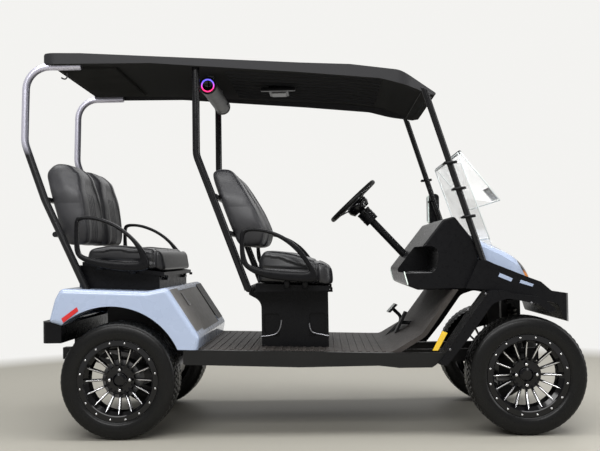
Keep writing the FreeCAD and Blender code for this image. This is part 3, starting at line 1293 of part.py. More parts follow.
def make_front_suspension():
    """Cross member with wishbones that hold the kingpins, coil-over struts and rack housing."""
    x, z = station(1), size("tyre_radius")
    low_top = z - KNUCKLE_HALF_HEIGHT - GAP
    high_foot = z + KNUCKLE_HALF_HEIGHT + GAP
    root = rail_outer()
    rail_foot = floor_level(TOE_START_SHARE) - size("floor_thick") - size("rail_depth")
    bits = [box("front_member", Vector(x - MEMBER_HALF_LENGTH, -root, low_top - MEMBER_THICK),
                Vector(x + MEMBER_HALF_LENGTH, root, rail_foot))]
    rack_x = x - WHEELBASE * ARM_REACH_SHARE
    rack_z = z - TIE_ROD_DROP
    housing, bridge = [root * share for share in HOUSING_REACH_SHARES]
    bits.append(cylinder("rack_housing", "Sizes.cross_radius * %s" % HOUSING_SHARE,
                         Vector(rack_x, -housing, rack_z), Vector(rack_x, housing, rack_z)))
    bits.append(box("rack_bridge", Vector(rack_x, -bridge, rack_z - BRIDGE_DEPTH[0]),
                    Vector(x - UPPER_HALF_LENGTH, bridge, rack_z + BRIDGE_DEPTH[1])))
    bore = cylinder("rack_bore", "Sizes.cross_radius * %s + Sizes.running_gap" % ROD_SHARE,
                    Vector(rack_x, -root, rack_z), Vector(rack_x, root, rack_z))
    uppers = []
    for tag, hand in (("right", -1), ("left", 1)):
        bits.append(wishbone("lower_arm_" + tag, root - OVER, MEMBER_HALF_LENGTH, low_top - MEMBER_THICK,
                             MEMBER_THICK, hand))
        upper = wishbone("upper_arm_" + tag, root, UPPER_HALF_LENGTH, high_foot, UPPER_THICK, hand)
        uppers.append(fuse("upper_set_" + tag, [upper] + make_coil(tag, hand, high_foot + UPPER_THICK)))
    joined = cut("front_member_bored", fuse("front_member_fused", bits), bore)
    return node("front_suspension", gather("front_suspension_set", [joined] + uppers))


SPRING_END_SHARES = (-0.145, 0.095)
AXLE_TUBE_SHARE = 1.8
SPRING_RISE_SHARE = 1.5
AXLE_END = 20
GEAR_CASE_RADIUS = 95
GEAR_CASE_HALF_WIDTH = 60
MOTOR_RADIUS = 80
MOTOR_OFFSET = 150
MOTOR_RISE = 10
MOTOR_REACH = (-160, 50)
DRUM_RADIUS = 95
DRUM_START = 10
DRUM_END = 30


def make_rear_axle():
    """Driven rear axle: tube, gear case, motor, leaf springs and spindles as one unit."""
    x, z = station(0), size("tyre_radius")
    outer, inner, face = rim_marks()

    def turned_across(name, radius, low, high, centre):
        return cylinder(name, radius, Vector(centre[0], low, centre[1]), Vector(centre[0], high, centre[1]))

    hub = (x, z)
    bits = [turned_across("axle_tube", "Sizes.spindle_radius * %s" % AXLE_TUBE_SHARE, -inner - AXLE_END,
                          inner + AXLE_END, hub),
            turned_across("axle_spindle", "Sizes.spindle_radius", GAP - face, face - GAP, hub),
            turned_across("gear_case", str(GEAR_CASE_RADIUS), -GEAR_CASE_HALF_WIDTH, GEAR_CASE_HALF_WIDTH, hub),
            turned_across("motor", str(MOTOR_RADIUS), *MOTOR_REACH, (x + MOTOR_OFFSET, z + MOTOR_RISE))]
    for i, hand in enumerate((-1, 1)):
        low, high = sorted((hand * (inner + DRUM_START), hand * (face - DRUM_END)))
        bits.append(turned_across("drum_%d" % i, str(DRUM_RADIUS), low, high, hub))
    rail_foot = level(RAIL_ARCH_SHARE) - size("rail_depth")
    rise = z + size("spindle_radius") * SPRING_RISE_SHARE
    leaf = size("leaf_thick")
    tail, nose = [station(share) for share in SPRING_END_SHARES]
    points = [(tail, rail_foot - leaf), (x, rise, "via"), (nose, rail_foot - leaf),
              (nose, rail_foot), (x, rise + leaf, "via"), (tail, rail_foot)]
    spring = prism("leaf_spring_right", "XZ_Plane", curves(points), RAIL_LOW, RAIL_HIGH)
    return node("rear_axle", fuse("rear_axle_fused", bits + [spring, mirrored("leaf_spring_left", spring)]))


BATTERY_SHARES = ((-0.07, RAIL_ARCH_SHARE), (0.105, 0.665))


def make_battery():
    """Battery under the rear seat, a plain block at its real size and place."""
    return node("battery_pack", side_box("battery_block", BATTERY_SHARES, -rail_outer(), rail_outer()))


def build():
    floor = make_floor()
    make_sills()
    body_block, shell = make_rear_body()
    make_access_panel(shell)
    make_rear_bumper(body_block)
    make_tow_bracket()
    fascia, cowl = make_nose()
    make_frame(fascia)
    make_flares(fascia)
    dash = make_dash()
    make_roof()
    under_roof, front_strut = make_struts(body_block, fascia)
    make_windshield(cowl, front_strut)
    make_mirror()
    make_sound_bar(under_roof)
    make_front_pedestal()
    make_backs("front_seat_backs", FRONT_BACK_SHARES, FRONT_BACK_LINE_SHARES)
    make_backs("rear_seat_backs", REAR_BACK_SHARES, REAR_BACK_LINE_SHARES)
    make_seat("front", FRONT_CUSHION_SHARES, FRONT_PAN_SHARES, FRONT_AXIS_SHARES, FRONT_TONGUE_SHARES)
    make_seat("rear", REAR_CUSHION_SHARES, REAR_PAN_SHARES, REAR_AXIS_SHARES, REAR_TONGUE_SHARES)
    make_rear_base(body_block)
    make_rests("front_armrests", FRONT_REST_SHARES, FRONT_HOLE_SHARES, FRONT_TAB_SHARES)
    make_rests("rear_armrests", REAR_REST_SHARES, REAR_HOLE_SHARES, REAR_TAB_SHARES)
    make_steering_wheel()
    make_column(dash)
    make_pedals(floor)
    for corner_name, x, hand in wheel_places():
        make_tyre(corner_name, x, hand)
        make_rim(corner_name, x, hand)
    make_knuckle("left", 1)
    make_knuckle("right", -1)
    make_rack()
    make_front_suspension()
    make_rear_axle()
    make_battery()


def check_and_write():
    """Recompute, test the document and every node, then write each node's step file."""
    doc.recompute()
    failed = [item.Name for item in doc.Objects if "Invalid" in item.State or "Error" in item.State]
    if failed:
        raise RuntimeError("these objects failed: " + ", ".join(failed))
    for item in NODES:
        shape = item.Shape
        if shape.isNull() or not shape.isValid() or not shape.Solids:
            raise RuntimeError("no valid solid in " + item.Label)
        shape.exportStep("parts/%s.step" % item.Label)
        bounds = shape.BoundBox
        print("%-20s %2d solids %7.1f..%7.1f %7.1f..%7.1f %7.1f..%7.1f" % (
            item.Label, len(shape.Solids), bounds.XMin, bounds.XMax, bounds.YMin, bounds.YMax,
            bounds.ZMin, bounds.ZMax))


build()
check_and_write()
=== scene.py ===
import math

import bmesh
import bpy
from mathutils import Matrix, Vector
from mathutils.bvhtree import BVHTree


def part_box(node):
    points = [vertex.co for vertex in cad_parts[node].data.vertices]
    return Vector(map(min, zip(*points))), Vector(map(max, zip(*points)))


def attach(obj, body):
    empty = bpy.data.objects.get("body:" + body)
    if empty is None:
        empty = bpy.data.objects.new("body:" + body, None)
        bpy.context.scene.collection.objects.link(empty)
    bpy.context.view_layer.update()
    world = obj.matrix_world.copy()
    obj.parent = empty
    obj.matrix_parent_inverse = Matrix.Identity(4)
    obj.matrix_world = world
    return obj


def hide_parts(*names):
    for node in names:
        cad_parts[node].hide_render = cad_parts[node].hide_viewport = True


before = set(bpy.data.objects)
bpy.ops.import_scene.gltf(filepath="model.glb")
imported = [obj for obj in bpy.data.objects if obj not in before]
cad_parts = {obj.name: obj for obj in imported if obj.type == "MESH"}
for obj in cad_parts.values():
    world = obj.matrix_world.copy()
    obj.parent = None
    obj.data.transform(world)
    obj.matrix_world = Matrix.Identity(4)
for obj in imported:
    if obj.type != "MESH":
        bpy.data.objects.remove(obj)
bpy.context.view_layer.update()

# Measures read from the frame, in metres: X forward, Y left, Z up.


def middle(node):
    low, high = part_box(node)
    return (low + high) / 2


CORNERS = ("front_left", "front_right", "rear_left", "rear_right")
SIDES = (("right", -1), ("left", 1))
HUBS = {name: middle("tyre_" + name) for name in CORNERS}
REAR_X = HUBS["rear_left"].x
WHEELBASE = HUBS["front_left"].x - REAR_X
TYRE_LOW, TYRE_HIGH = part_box("tyre_rear_left")
TYRE_RADIUS = (TYRE_HIGH.z - TYRE_LOW.z) / 2
TYRE_WIDTH = TYRE_HIGH.y - TYRE_LOW.y
RIM_RADIUS = (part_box("rim_rear_left")[1].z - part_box("rim_rear_left")[0].z) / 2


def station(share):
    """X of a share of the wheelbase ahead of the rear axle."""
    return REAR_X + share * WHEELBASE


# Mesh helpers


def placed(name, data):
    """Object of a mesh, curve, light or camera, put into the scene."""
    obj = bpy.data.objects.new(name, data)
    bpy.context.scene.collection.objects.link(obj)
    return obj


def link(name, mesh, body, material):
    """Object of a finished mesh, riding on its body with its slot and material."""
    obj = placed(name, mesh)
    mesh.materials.append(material)
    for face in mesh.polygons:
        face.use_smooth = True
    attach(obj, body)
    return obj


def mesh_of(name, points, faces):
    mesh = bpy.data.meshes.new(name)
    mesh.from_pydata([tuple(p) for p in points], [], faces)
    mesh.validate()
    mesh.update()
    return mesh


def grid_faces(rows, columns, close_rows=False, close_columns=False):
    """Quads between the points of a grid that is stored row by row."""
    faces = []
    for i in range(rows if close_rows else rows - 1):
        for j in range(columns if close_columns else columns - 1):
            a, b = (i + 1) % rows, (j + 1) % columns
            faces.append((i * columns + j, i * columns + b, a * columns + b, a * columns + j))
    return faces


def bevelled(obj, width, segments=3, angle=35):
    """Rounded edges with clean shading."""
    bevel = obj.modifiers.new("edges", "BEVEL")
    bevel.width = width
    bevel.segments = segments
    bevel.limit_method = "ANGLE"
    bevel.angle_limit = math.radians(angle)
    bevel.harden_normals = True
    return obj


def block(name, size, matrix, body, material, bevel=0.003):
    """Box of the given size in its own frame, with rounded edges."""
    work = bmesh.new()
    bmesh.ops.create_cube(work, size=1)
    bmesh.ops.scale(work, vec=size, verts=work.verts)
    bmesh.ops.transform(work, matrix=matrix, verts=work.verts)
    mesh = bpy.data.meshes.new(name)
    work.to_mesh(mesh)
    work.free()
    return bevelled(link(name, mesh, body, material), bevel)


def smooth_curve(name, points, radius, body, material):
    """Round bead or tube along a smooth line, as a curve object."""
    curve = bpy.data.curves.new(name, "CURVE")
    curve.dimensions = "3D"
    curve.bevel_depth = radius
    curve.bevel_resolution = 4
    curve.resolution_u = 8
    curve.use_fill_caps = True
    spline = curve.splines.new("NURBS")
    spline.points.add(len(points) - 1)
    for place, point in zip(spline.points, points):
        place.co = (*point, 1)
    spline.order_u = 3
    spline.use_endpoint_u = True
    obj = placed(name, curve)
    curve.materials.append(material)
    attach(obj, body)
    return obj


# Materials


def wire(material, source, target):
    material.node_tree.links.new(source, target)


def put(material, entry, value):
    """Gives an input a number, a colour or another node's output."""
    if isinstance(value, (int, float)):
        entry.default_value = value
    elif isinstance(value, tuple):
        entry.default_value = (*value, 1)
    else:
        wire(material, value, entry)


def feed(material, entries):
    """Sets inputs of a material's shader by name."""
    shader = material.node_tree.nodes["Principled BSDF"]
    for name, value in entries.items():
        put(material, shader.inputs[name], value)


def principled(name, color, roughness, metallic=0.0, coat=0.0):
    material = bpy.data.materials.new(name)
    material.use_nodes = True
    feed(material, {"Base Color": color, "Roughness": roughness, "Metallic": metallic,
                    "Coat Weight": coat, "Coat Roughness": 0.04})
    return material


def add(material, kind, **settings):
    """Node with its inputs or properties set by name."""
    item = material.node_tree.nodes.new(kind)
    for key, value in settings.items():
        if key in item.inputs:
            item.inputs[key].default_value = value
        else:
            setattr(item, key, value)
    return item


def coordinates(material, kind="Object"):
    """The object's own coordinates, which are metres, or its normals."""
    return add(material, "ShaderNodeTexCoord").outputs[kind]


def noise(material, vector, scale, detail=4.0):
    item = add(material, "ShaderNodeTexNoise", Scale=scale, Detail=detail, Roughness=0.55)
    wire(material, vector, item.inputs["Vector"])
    return item.outputs["Fac"]


def ranged(material, value, low, high, new_low, new_high):
    item = add(material, "ShaderNodeMapRange")
    for key, number in zip(("From Min", "From Max", "To Min", "To Max"), (low, high, new_low, new_high)):
        item.inputs[key].default_value = number
    wire(material, value, item.inputs["Value"])
    return item.outputs["Result"]


def mixed(material, factor, first, second):
    """Colour that runs by a factor from one to the other, each a colour or another node's output."""
    item = add(material, "ShaderNodeMix", data_type="RGBA")
    wire(material, factor, item.inputs["Factor"])
    put(material, item.inputs[6], first)
    put(material, item.inputs[7], second)
    return item.outputs[2]


def bump(material, height, strength, distance):
    item = add(material, "ShaderNodeBump", Strength=strength, Distance=distance)
    wire(material, height, item.inputs["Height"])
    return item.outputs["Normal"]


def surface(name, color, roughness, shade=0.8, patch=6.0, grain=0.0, grain_scale=900.0, spread=0.08,
            metallic=0.0, coat=0.0, sheen=0.5):
    """Finish with uneven tone and gloss in soft patches, and a fine grain in its relief."""
    material = principled(name, color, roughness, metallic, coat)
    vector = coordinates(material)
    tone = ranged(material, noise(material, vector, patch), 0.3, 0.7, 0, 1)
    gloss = ranged(material, noise(material, vector, patch * 7), 0.25, 0.75, roughness - spread,
                   roughness + spread)
    feed(material, {"Specular IOR Level": sheen, "Roughness": gloss,
                    "Base Color": mixed(material, tone, tuple(c * shade for c in color), color)})
    if grain:
        relief = noise(material, vector, grain_scale, 3.0)
        feed(material, {"Normal": bump(material, relief, grain, 0.0004)})
    return material


def leather(name, color, roughness=0.36):
    """Vinyl hide: small rounded cells, a soft gloss and uneven tone."""
    material = surface(name, color, roughness, shade=0.8, patch=9.0, spread=0.04, sheen=0.55)
    cells = add(material, "ShaderNodeTexVoronoi", Scale=520.0)
    wire(material, coordinates(material), cells.inputs["Vector"])
    feed(material, {"Normal": bump(material, cells.outputs["Distance"], 0.12, 0.0005)})
    return material


PAINT_BLUE = (0.40, 0.475, 0.635)

M = {
    "paint": surface("ice_blue_paint", PAINT_BLUE, 0.28, shade=0.97, patch=2.0, spread=0.03, coat=0.6),
    "frame": surface("frame_black", (0.008, 0.008, 0.009), 0.4, grain=0.15, grain_scale=500, sheen=0.25),
    "gloss": surface("gloss_black", (0.003, 0.003, 0.004), 0.10, spread=0.03, sheen=0.35),
    "strut": surface("strut_black", (0.006, 0.006, 0.007), 0.26, spread=0.05, sheen=0.3),
    "plastic": surface("moulded_black", (0.006, 0.006, 0.007), 0.30, grain=0.15, grain_scale=700,
                       sheen=0.14),
    "satin": surface("satin_black", (0.010, 0.010, 0.010), 0.40, grain=0.25, grain_scale=600,
                     sheen=0.25),
    "roof": surface("roof_charcoal", (0.035, 0.035, 0.037), 0.5, grain=0.3, grain_scale=600, sheen=0.3),
    "mat": surface("floor_mat_rubber", (0.052, 0.045, 0.041), 0.6, shade=0.6, patch=11, grain=0.4,
                   grain_scale=420, sheen=0.3),
    "hide": leather("seat_vinyl", (0.011, 0.011, 0.013)),
    # Seat backs: the seats' vinyl in a lighter colour, as painted light on their lit sides.
    "back_hide_painted_light": leather("back_vinyl_painted_light", (0.030, 0.030, 0.034), 0.44),
    "grip": surface("grip_rubber", (0.008, 0.008, 0.008), 0.5, grain=0.4, grain_scale=1200, sheen=0.3),
    "tyre": surface("tyre_rubber", (0.006, 0.006, 0.006), 0.32, shade=0.8, patch=20, grain=0.1,
                    grain_scale=600, sheen=0.22),
    "steel": surface("raw_steel", (0.20, 0.20, 0.21), 0.38, metallic=1.0, shade=0.6, patch=14,
                     spread=0.1),
    "bright": surface("milled_silver", (0.82, 0.82, 0.84), 0.2, metallic=1.0, shade=0.9, patch=30,
                      spread=0.05),
    # Dull silver: the metal of the cap rings and rim lips, and painted highlight on the flute beads.
    "silver_and_painted_glint": surface("dull_silver_and_painted_glint", (0.30, 0.30, 0.32), 0.3, metallic=1.0, shade=0.8, patch=30),
    "speaker": surface("speaker_grey", (0.09, 0.09, 0.095), 0.5, grain=0.2),
    "battery": surface("battery_case", (0.02, 0.02, 0.022), 0.5, grain=0.2, sheen=0.3),
    # Grey-taupe of the rear access panel: painted reflection on what is dark plastic.
    "panel": surface("panel_grey_painted_reflection", (0.19, 0.18, 0.17), 0.5, grain=0.35, grain_scale=500),
    "tray": surface("tray_grey", (0.030, 0.030, 0.029), 0.5, grain=0.2, sheen=0.0),
    "stitch": surface("seam_vinyl", (0.05, 0.05, 0.055), 0.35, spread=0.03),
    "yellow": principled("yellow_reflector", (0.86, 0.55, 0.015), 0.25, coat=0.8),
    "red": principled("red_lens", (0.62, 0.012, 0.012), 0.14, coat=1.0),
    "mirror": principled("mirror_silver", (0.80, 0.82, 0.85), 0.03, metallic=1.0),
    "shelf": surface("shelf_grey", (0.11, 0.11, 0.115), 0.35),
    "pale_pad": surface("pale_pedal", (0.55, 0.58, 0.57), 0.4, metallic=0.3),
}


def clear_material():
    material = principled("clear_acrylic", (0.97, 0.985, 0.99), 0.03)
    haze = noise(material, coordinates(material), 5.0)
    feed(material, {"Transmission Weight": 1.0, "IOR": 1.08, "Alpha": 0.35,
                    "Roughness": ranged(material, haze, 0.3, 0.7, 0.005, 0.02)})
    return material


def glowing(name, color, strength):
    material = principled(name, color, 0.3)
    feed(material, {"Emission Color": color, "Emission Strength": strength})
    return material


def along_axis(material, axis, low, high, kind="Object"):
    """Factor from 0 to 1 between two values of a coordinate, or of the normal."""
    parts = add(material, "ShaderNodeSeparateXYZ")
    wire(material, coordinates(material, kind), parts.inputs[0])
    return ranged(material, parts.outputs[axis], low, high, 0, 1)


def ring_material():
    """Ring of light that runs from magenta-red below to violet-blue above."""
    material = principled("ring_light", (0.1, 0.05, 0.1), 0.3)
    height = along_axis(material, "Z", 1.765, 1.806)
    feed(material, {"Emission Color": mixed(material, height, (0.95, 0.02, 0.16), (0.12, 0.10, 1.0)),
                    "Emission Strength": 2.2})
    return material


def strut_material():
    """Rear struts: grey metal with a high polish above their kink, given a lavender tint as painted
    reflection and a darker front as painted shade; satin black below.
    """
    material = principled("rear_strut_painted_light", (0.3, 0.3, 0.33), 0.2)
    factor = along_axis(material, "Z", 1.42, 1.50)
    # Darker on the side that faces forward: painted shade.
    front = along_axis(material, "X", 0.0, 0.75, "Normal")
    # Lavender-silver above the kink: painted reflection over the metal.
    polished_and_painted_light = mixed(material, front, (0.68, 0.67, 0.78), (0.10, 0.10, 0.12))
    feed(material, {"Base Color": mixed(material, factor, (0.008, 0.008, 0.009), polished_and_painted_light),
                    "Metallic": ranged(material, factor, 0, 1, 0.0, 0.6),
                    "Roughness": ranged(material, factor, 0, 1, 0.34, 0.28), "Specular IOR Level": 0.3})
    return material


def roof_material():
    """Roof shell: satin charcoal over the top and edge, matt below."""
    material = M["roof"]
    factor = along_axis(material, "Z", -0.45, -0.15, "Normal")
    feed(material, {"Base Color": mixed(material, factor, (0.032, 0.032, 0.032), (0.024, 0.024, 0.026)),
                    "Roughness": ranged(material, factor, 0, 1, 0.3, 0.5),
                    "Specular IOR Level": ranged(material, factor, 0, 1, 0.0, 0.22)})
    return material


def lens_material():
    """Smoked lens with an amber lamp low behind its outer end."""
    smoke, amber = (0.02, 0.02, 0.022), (0.75, 0.24, 0.02)
    material = principled("smoked_lens", smoke, 0.05, coat=1.0)
    within = add(material, "ShaderNodeMath", operation="MULTIPLY")
    wire(material, along_axis(material, "X", 1.115, 1.130), within.inputs[0])
    wire(material, along_axis(material, "Z", 0.800, 0.780), within.inputs[1])
    feed(material, {"Base Color": mixed(material, within.outputs[0], smoke, amber)})
    return material


def sticker_material():
    """Blank sticker that fades from pale to mid grey."""
    material = principled("blank_sticker", (0.5, 0.5, 0.5), 0.4)
    height = along_axis(material, "Z", 1.16, 1.23)
    feed(material, {"Base Color": mixed(material, height, (0.48, 0.48, 0.48), (0.20, 0.20, 0.20))})
    return material


M["clear"] = clear_material()
M["roof"] = roof_material()
M["ring_light"] = ring_material()
M["rear_strut"] = strut_material()
M["sticker"] = sticker_material()
M["lens"] = lens_material()
# Pale glow on the mirror rim and the dash strips: painted highlights, not lamps.
M["pale_painted_glint"] = glowing("pale_painted_glint", (0.80, 0.90, 0.84), 0.35)
# Pale green glow on the windshield's edges: the acrylic's edge tint, lit up as painted highlight.
M["glass_edge_painted_glint"] = glowing("glass_edge_painted_glint", (0.62, 0.66, 0.66), 0.25)

FINISHES = {
    "paint": "rear_body front_cowl",
    "frame": "tow_bracket frame pedals front_suspension",
    "gloss": "rim_front_left rim_front_right rim_rear_left rim_rear_right",
    "strut": "middle_struts front_struts",
    "rear_strut": "rear_struts",
    "plastic": "rear_bumper front_fascia fender_flares dashboard windshield_clips side_mirror "
               "front_pedestal front_seat_pan rear_seat_pan rear_seat_base front_armrests "
               "rear_armrests steering_column",
    "satin": "side_sills",
    "roof": "roof",
    "mat": "floor_pan",
    "hide": "front_seat_backs rear_seat_backs front_seat_cushion rear_seat_cushion",
    "grip": "steering_wheel",
    "tyre": "tyre_front_left tyre_front_right tyre_rear_left tyre_rear_right",
    "steel": "steering_rack knuckle_left knuckle_right rear_axle",
    "clear": "windshield",
    "lens": "headlights",
    "speaker": "sound_bar",
    "battery": "battery_pack",
    # Access panel in the grey-taupe that is painted reflection.
    "panel": "rear_access_panel",
}
for key, names in FINISHES.items():
    for name in names.split():
        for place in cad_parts[name].material_slots:
            place.material = M[key]


# Turned and joined shapes


def lathe(points, count, centre, hand, radius_at):
    """Grid of points turned about a wheel's axis; each profile point is (y from the centre, r)."""
    made = []
    for i in range(count):
        angle = 2 * math.pi * i / count
        for y, r in points:
            r = radius_at(i, y, r)
            made.append((centre.x + r * math.cos(angle), hand * y, centre.z + r * math.sin(angle)))
    return made


def smooth_line(points, steps):
    """Points of a smooth line through the given ones."""
    made = []
    count = len(points)
    for i in range(count - 1):
        a, b, c, d = (points[max(0, min(count - 1, k))] for k in (i - 1, i, i + 1, i + 2))
        for k in range(steps):
            t = k / steps
            made.append(tuple(0.5 * (2 * q + (r - p) * t + (2 * p - 5 * q + 4 * r - s) * t * t
                                     + (3 * q - p - 3 * r + s) * t ** 3)
                              for p, q, r, s in zip(a, b, c, d)))
    made.append(tuple(points[-1]))
    return made


def merged(name, parts, body, material):
    """One object of several pieces, each given as its points and faces."""
    points, faces = [], []
    for own_points, own_faces in parts:
        shift = len(points)
        points += own_points
        faces += [tuple(i + shift for i in face) for face in own_faces]
    return link(name, mesh_of(name, points, faces), body, material)


def turned_about(origin, axis, rows, count=40):
    """Points and faces of a profile of (radius, height) rows turned about an axis."""
    axis = Vector(axis).normalized()
    first = axis.orthogonal().normalized()
    second = axis.cross(first)
    points = [tuple(Vector(origin) + (first * math.cos(2 * math.pi * i / count)
                                      + second * math.sin(2 * math.pi * i / count)) * r + axis * h)
              for r, h in rows for i in range(count)]
    return points, grid_faces(len(rows), count, close_columns=True)


def bar_rows(radius, length, first=0.0, last=0.0, core=0.0005):
    """Profile of a closed round bar, for turned_about, with its two edges set in."""
    return [(core, 0.0), (radius, first), (radius, length - last), (core, length)]


def dome(centre, axis, radius, height, count=14, rings=3):
    """Bolt head or stud: a low dome on a short wall, along an axis."""
    rows = [(radius, 0.0), (radius, 0.45 * height)]
    rows += [(radius * math.cos(a), height * (0.45 + 0.55 * math.sin(a)))
             for a in (math.pi / 2 * k / rings for k in range(1, rings))]
    points, faces = turned_about(centre, axis, rows, count)
    start, top = len(points) - count, len(points)
    faces += [(start + i, start + (i + 1) % count, top) for i in range(count)]
    return points + [tuple(Vector(centre) + Vector(axis).normalized() * height)], faces


# Tyres: shoulder sipes, centre ribs and sidewall rings. Across the tread, v is the share of the
# half width; up the sidewall, the height is the share from the bead to the tread.

BLOCKS = 60
STEPS = 8
SIPE_DEPTH = 0.0045
RIB_GROOVE_DEPTH = 0.0065
CROSS_CUT_DEPTH = 0.004


def tyre_profile():
    """Half profile from the tread's middle to the bead, as shares of half width and of height."""
    half = TYRE_WIDTH / 2
    low = RIM_RADIUS - 0.001
    rows = [(0.0, 1.0), (0.36, 0.997), (0.66, 0.982), (0.83, 0.94), (0.935, 0.82), (0.985, 0.62),
            (1.0, 0.38), (0.965, 0.12), (0.88, -0.03)]
    return [(half * y, low + (TYRE_RADIUS - low) * r) for y, r in smooth_line(rows, 5)]


def make_tyre(corner):
    hub = HUBS[corner]
    hand = 1 if hub.y > 0 else -1
    half = tyre_profile()
    middle = abs(hub.y)
    profile = [(middle - y, r) for y, r in reversed(half[1:])] + [(middle + y, r) for y, r in half]
    width = TYRE_WIDTH / 2

    def radius_at(i, y, r):
        v = abs(y - middle) / width
        turn = i / STEPS
        place = turn % 1.0
        shift = 0.5 if y > middle else 0.0
        cut = 0.0
        if 0.56 < v < 0.86 and (turn + shift) % 1.0 < 0.26:
            cut = SIPE_DEPTH * min(1.0, (0.86 - v) / 0.1)
        elif v < 0.56:
            wave = 0.03 * math.sin(2 * math.pi * turn)
            if abs(v - 0.24 - wave) < 0.05 or abs(v - 0.53) < 0.035:
                cut = RIB_GROOVE_DEPTH
            elif 0.3 < v and place < 0.14:
                cut = CROSS_CUT_DEPTH
        height = (r - RIM_RADIUS) / (TYRE_RADIUS - RIM_RADIUS)
        if v > 0.9:
            cut -= 0.0012 * (abs(height - 0.22) < 0.035) + 0.0010 * (abs(height - 0.52) < 0.03)
        return r - cut

    points = lathe(profile, BLOCKS * STEPS, hub, hand, radius_at)
    faces = grid_faces(BLOCKS * STEPS, len(profile), close_rows=True)
    if hand > 0:
        faces = [tuple(reversed(face)) for face in faces]
    name = "tread_" + corner
    obj = link(name, mesh_of(name, points, faces), "wheel_" + corner, M["tyre"])
    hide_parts("tyre_" + corner)


# Wheels: milled spoke crests, ring bolts, nuts and cap

FACE_Y = 0.572
LIP_Y = 0.634
CREST_FROM, CREST_TO = 0.082, 0.166
CREST_HALF_WIDTH = 0.0030
SPOKES = 16
STUD_CIRCLE = 0.1888
NUT_CIRCLE = 0.0508


def arc_through(a, b, c, count):
    """Points on the circle arc from a over b to c."""
    ax, ay, bx, by, cx, cy = *a, *b, *c
    d = 2 * (ax * (by - cy) + bx * (cy - ay) + cx * (ay - by))
    aa, bb, cc = ax * ax + ay * ay, bx * bx + by * by, cx * cx + cy * cy
    ux = (aa * (by - cy) + bb * (cy - ay) + cc * (ay - by)) / d
    uy = (aa * (cx - bx) + bb * (ax - cx) + cc * (bx - ax)) / d
    radius = math.hypot(ax - ux, ay - uy)
    start, end = math.atan2(ay - uy, ax - ux), math.atan2(cy - uy, cx - ux)
    end = start + (end - start + math.pi) % (2 * math.pi) - math.pi
    return [(ux + radius * math.cos(start + (end - start) * i / (count - 1)),
             uy + radius * math.sin(start + (end - start) * i / (count - 1))) for i in range(count)]


def around(hub, radius, y, count, shift=0.0):
    """Points evenly round a wheel's axis."""
    turns = [2 * math.pi * (i + shift) / count for i in range(count)]
    return [Vector((hub.x + radius * math.cos(t), y, hub.z + radius * math.sin(t))) for t in turns]


def make_crests(corner):
    hub = HUBS[corner]
    hand = 1 if hub.y > 0 else -1
    body, slot = "wheel_" + corner, "rim_paint"
    axis = (0, hand, 0)
    line = arc_through((FACE_Y, 0.058), (FACE_Y + 0.0186, 0.1182), (FACE_Y + 0.0558, 0.1835), 60)
    line = [p for p in line if CREST_FROM < p[1] < CREST_TO]
    parts = []
    for i in range(SPOKES):
        turn = 2 * math.pi * i / SPOKES
        out = Vector((math.cos(turn), 0, math.sin(turn)))
        across = Vector((-math.sin(turn), 0, math.cos(turn)))
        points = []
        for k, (y, r) in enumerate(line):
            t = k / (len(line) - 1)
            half = CREST_HALF_WIDTH * min(1.0, 4 * t + 0.25, 5 * (1 - t) + 0.25)
            for side, lift in ((-1, 0.0002), (-0.8, 0.0012), (0.8, 0.0012), (1, 0.0002)):
                p = Vector((hub.x, hand * (y + lift), hub.z)) + out * r + across * half * side
                points.append(tuple(p))
        faces = grid_faces(len(line), 4)
        parts.append((points, faces if hand > 0 else [tuple(reversed(f)) for f in faces]))
    merged("crests_" + corner, parts, body, M["bright"])
    studs = [dome(place, axis, 0.0048, 0.0032)
             for place in around(hub, STUD_CIRCLE, hand * LIP_Y, SPOKES, 0.5)]
    studs += [dome(place, axis, 0.0078, 0.005)
              for place in around(hub, NUT_CIRCLE, hand * (FACE_Y + 0.015), 4)]
    merged("studs_" + corner, studs, body, M["bright"])
    rows = [(0.033, 0.010), (0.0345, 0.012), (0.0345, 0.0145), (0.033, 0.016)]
    ring = turned_about((hub.x, hand * FACE_Y, hub.z), axis, rows)
    merged("cap_ring_" + corner, [ring], body, M["silver_and_painted_glint"])
    rows = [(RIM_RADIUS - 0.001, -0.0002), (RIM_RADIUS + 0.0004, -0.0012), (RIM_RADIUS + 0.0004, -0.003)]
    lip = turned_about((hub.x, hand * LIP_Y, hub.z), axis, rows, 96)
    merged("lip_line_" + corner, [lip], body, M["silver_and_painted_glint"])


# Seats: swollen by simulated pressure inside their solids, then sewn

PRESSURE = 4
LAST_FRAME = 20
DRIFT_PASSES = 60


def evaluated(obj):
    """Copy of an object's mesh with its modifiers applied."""
    graph = bpy.context.evaluated_depsgraph_get()
    graph.update()
    return bpy.data.meshes.new_from_object(obj.evaluated_get(graph))


def settled(obj):
    """Applies an object's modifiers to its own mesh, which is given back."""
    mesh = evaluated(obj)
    obj.modifiers.clear()
    obj.data = mesh
    return mesh


def smoothed(obj, factor, passes):
    smooth = obj.modifiers.new("smooth", "SMOOTH")
    smooth.factor = factor
    smooth.iterations = passes


